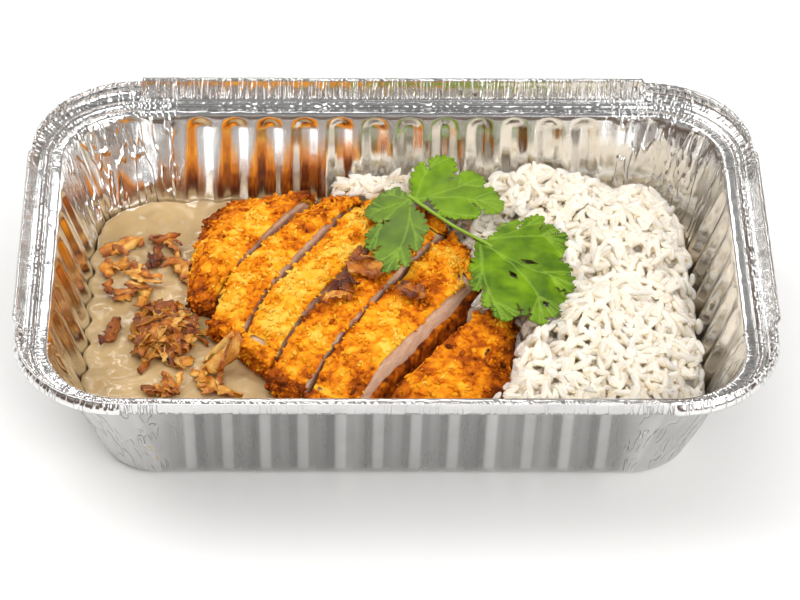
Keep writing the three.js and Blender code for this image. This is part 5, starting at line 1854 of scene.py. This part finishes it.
LEFT_LEAFLET = Leaflet(
    stalk=(5.2, 35.5),
    outline=(
        (5.6, 36.6), (4.2, 38.0), (3.0, 40.1), (2.3, 39.6), (0.8, 41.8), (0.3, 40.1), (-0.2, 41.1),
        (-0.8, 39.9), (-2.0, 40.4), (-2.5, 39.1), (-4.5, 38.4), (-4.0, 36.0), (-6.8, 35.1), (-6.3, 33.3),
        (-8.2, 32.0), (-8.3, 29.8), (-8.2, 27.6), (-6.7, 25.8), (-5.1, 24.6), (-0.8, 25.9), (-5.8, 23.0),
        (-8.0, 20.8), (-8.1, 17.4), (-8.0, 12.9), (-6.1, 12.5), (-4.0, 14.5), (-6.5, 10.0), (-6.6, 7.0),
        (-4.3, 7.2), (-3.7, 7.9), (-4.5, 3.5), (-2.6, 1.9), (-1.1, 2.6), (-0.5, 3.5), (0.6, 2.9), (1.3, 3.8),
        (1.4, 7.7), (2.2, 5.2), (3.4, 4.2), (4.6, 6.1), (4.8, 10.0), (4.1, 13.7), (5.6, 11.8), (6.8, 11.4),
        (7.6, 12.5), (8.2, 14.2), (7.8, 15.7), (9.1, 16.2), (8.3, 18.9), (10.3, 20.5), (9.7, 23.5),
        (9.5, 26.3), (8.2, 28.9), (7.1, 29.9), (5.3, 31.9), (6.2, 34.6),
    ),
    ribs=((-6.6, 30.5), (-6.4, 17.0), (-1.8, 4.4), (7.4, 16.0), (-1.2, 38.4)),
    # Mostly a painted sheen on this leaflet
    bloom=0.55,
)
RIGHT_LEAFLET = Leaflet(
    stalk=(25.8, 15.4),
    outline=(
        (26.2, 16.6), (27.9, 16.5), (29.8, 17.7), (31.0, 19.8), (32.0, 22.6), (33.4, 24.1), (34.0, 22.5),
        (34.8, 24.6), (35.9, 25.2), (38.2, 24.8), (37.1, 20.4), (39.4, 25.2), (40.3, 26.1), (41.0, 24.9),
        (42.6, 26.7), (44.3, 26.5), (45.7, 23.8), (43.7, 19.4), (46.2, 22.2), (47.3, 23.4), (50.1, 22.0),
        (50.1, 20.5), (48.5, 18.5), (50.3, 19.5), (52.3, 18.5), (51.7, 17.1), (53.0, 14.7), (52.5, 11.8),
        (50.8, 11.0), (51.9, 9.2), (50.5, 7.8), (47.9, 8.8), (49.4, 6.2), (50.7, 5.1), (52.3, 3.4),
        (52.8, 1.5), (50.9, 0.2), (53.0, -0.1), (54.2, -4.0), (52.7, -5.8), (52.7, -7.1), (47.4, -4.9),
        (52.2, -9.1), (51.6, -11.0), (49.1, -9.1), (50.7, -12.2), (50.6, -14.8), (49.3, -15.8),
        (47.6, -14.3), (47.8, -17.3), (46.7, -18.2), (45.5, -16.4), (44.4, -18.2), (43.7, -20.7),
        (42.4, -20.9), (41.1, -19.6), (39.8, -19.4), (39.7, -14.6), (39.0, -16.9), (38.2, -17.6),
        (37.3, -15.5), (35.8, -12.4), (36.4, -14.9), (35.9, -17.8), (34.4, -16.8), (33.6, -19.6),
        (31.5, -19.8), (30.8, -18.0), (29.5, -18.7), (28.4, -15.6), (29.0, -11.6), (27.3, -14.2),
        (26.1, -13.8), (25.6, -10.0), (26.7, -4.1), (25.3, -6.6), (23.7, -6.9), (22.0, -3.0), (23.7, 1.3),
        (22.4, 2.2), (22.2, 3.8), (23.1, 6.4), (24.1, 8.7), (24.8, 11.8), (24.0, 14.9),
    ),
    ribs=((35.6, 24.0), (44.0, 25.6), (51.5, 16.0), (52.8, -4.0), (45.6, -16.8), (31.8, -18.4), (24.4, -4.8)),
    slits=(((37.5, 6.6), (43.0, 4.1)), ((34.0, 1.8), (36.5, -2.4)), ((43.8, -10.9), (45.0, -14.3))),
    bloom=0.1,
)


# ---------------------------------------------------------------- tabletop, lights and camera


@dataclass
class Studio:
    """Plain pale floor, soft light and the camera."""

    floor_half: float = 1.6
    lens: float = 168.856
    tilt: float = 41.1133  # degrees that the camera looks down
    swing: float = 1.5257  # degrees that it stands to the right
    roll: float = -1.1083
    distance: float = 1137.7664
    aim: tuple[float, float] = (1.6857, 18.4374)  # how far it is moved along its own right and up
    sky: tuple[tuple[float, Colour], ...] = (  # colour by height, from the horizon to overhead
        (0.0, (0.20, 0.13, 0.085)), (0.3, (0.26, 0.18, 0.13)), (0.46, (0.6, 0.55, 0.5)),
        (0.56, (0.95, 0.93, 0.9)), (0.63, (0.3, 0.29, 0.28)), (0.7, (0.7, 0.7, 0.7)),
        (0.79, (0.25, 0.24, 0.24)), (0.87, (0.22, 0.22, 0.22)), (0.93, (0.45, 0.45, 0.45)),
        (1.0, (0.5, 0.5, 0.5)),
    )
    sky_strength: float = 0.6

    def _floor(self) -> None:
        """Lay the floor."""
        half = self.floor_half / MM
        corners = np.array([(-half, -half, 0), (half, -half, 0), (half, half, 0), (-half, half, 0)], float)
        skin = Skin(corners, [np.array([[0, 1, 2, 3]])])
        floor = bpy.data.objects.new("tabletop", mesh_of("tabletop", skin))
        floor.data.materials.append(PaleFloor().material())
        bpy.context.scene.collection.objects.link(floor)

    def _camera(self) -> None:
        """Set up the camera."""
        tilt, swing, roll = (math.radians(angle) for angle in (self.tilt, self.swing, self.roll))
        back, lift = self.distance, self.aim[1]
        place = Vector(
            (
                self.aim[0],
                -back * math.cos(tilt) + lift * math.sin(tilt),
                back * math.sin(tilt) + lift * math.cos(tilt),
            )
        )
        right, up = Vector((1, 0, 0)), Vector((0, math.sin(tilt), math.cos(tilt)))
        right, up = math.cos(roll) * right - math.sin(roll) * up, math.sin(roll) * right + math.cos(roll) * up
        turn = Matrix.Rotation(-swing, 3, "Z")
        axes = [turn @ axis for axis in (right, up, right.cross(up))]
        data = bpy.data.cameras.new("camera")
        data.lens, data.sensor_width = self.lens, 36
        data.clip_start, data.clip_end = 0.05, 20
        camera = bpy.data.objects.new("camera", data)
        rotation = Matrix(axes).transposed().to_4x4()
        camera.matrix_world = Matrix.Translation(turn @ place * MM) @ rotation
        bpy.context.scene.collection.objects.link(camera)
        bpy.context.scene.camera = camera

    @staticmethod
    def _softbox(
        name: str, place: Sequence[float], size: Sequence[float], power: float, seen: bool = True
    ) -> None:
        """Hang a rectangular soft light that points at the tray.

        Args:
            name: The light's name.
            place: Where it hangs, in metres.
            size: Its width and height, in metres.
            power: Its power, in watts.
            seen: Whether bright metal mirrors it.
        """
        data = bpy.data.lights.new(name, "AREA")
        data.shape = "RECTANGLE"
        data.size, data.size_y = size
        data.energy = power
        light = bpy.data.objects.new(name, data)
        light.location = place
        light.visible_glossy = seen
        light.rotation_mode = "QUATERNION"
        light.rotation_quaternion = (Vector((0, 0, 0.02)) - Vector(place)).to_track_quat("-Z", "Y")
        bpy.context.scene.collection.objects.link(light)

    def _sky(self) -> None:
        """Sky in level bands, warm and dim at the horizon and brightest about halfway up."""
        sky = SkyShader("sky", Strength=self.sky_strength)
        place = sky.node("ShaderNodeTexCoord", {}, {}).outputs["Generated"]
        height = Value(sky, sky.node("ShaderNodeSeparateXYZ", {}, {0: place}).outputs["Z"])
        sky.set("Color", sky.ramp(height, self.sky))
        bpy.context.scene.world = sky.world

    def build(self) -> None:
        """Set up floor, lights, sky and camera."""
        self._floor()
        self._camera()
        self._sky()
        self._softbox("key", (-0.85, 0.3, 1.2), (1.1, 1.1), 12)
        self._softbox("fill", (0.9, -0.95, 0.85), (1.5, 1.05), 20)
        self._softbox("strip", (-0.2, 1.25, 1.12), (0.6, 0.06), 1.6)
        self._softbox("overhead", (0.1, 0.1, 2.2), (2.4, 2.4), 27, seen=False)
        view = bpy.context.scene.view_settings
        view.view_transform = "Standard"
        view.look = "None"
        view.exposure = 0.0


def main() -> None:
    """Build the meal, its tabletop, lights and camera."""
    logging.basicConfig(level=logging.INFO, format="%(name)s: %(message)s")
    tray = FoilTray()
    tray.build()
    SauceBed(tray).build()
    RiceHeap(tray).build()
    CutletSlice(1, Crusted.LEFT, toast=0.42).build()
    CutletSlice(2, toast=0.28).build()
    CutletSlice(3, toast=0.12).build()
    CutletSlice(4, toast=0.42).build()
    CutletSlice(5, toast=0.34, lower_crust=23.5).build()
    CutletSlice(6, Crusted.RIGHT, toast=0.47).build()
    FriedOnion().build()
    CorianderSprig((TOP_LEAFLET, LEFT_LEAFLET, RIGHT_LEAFLET)).build()
    Studio().build()


if __name__ == "__main__":
    main()
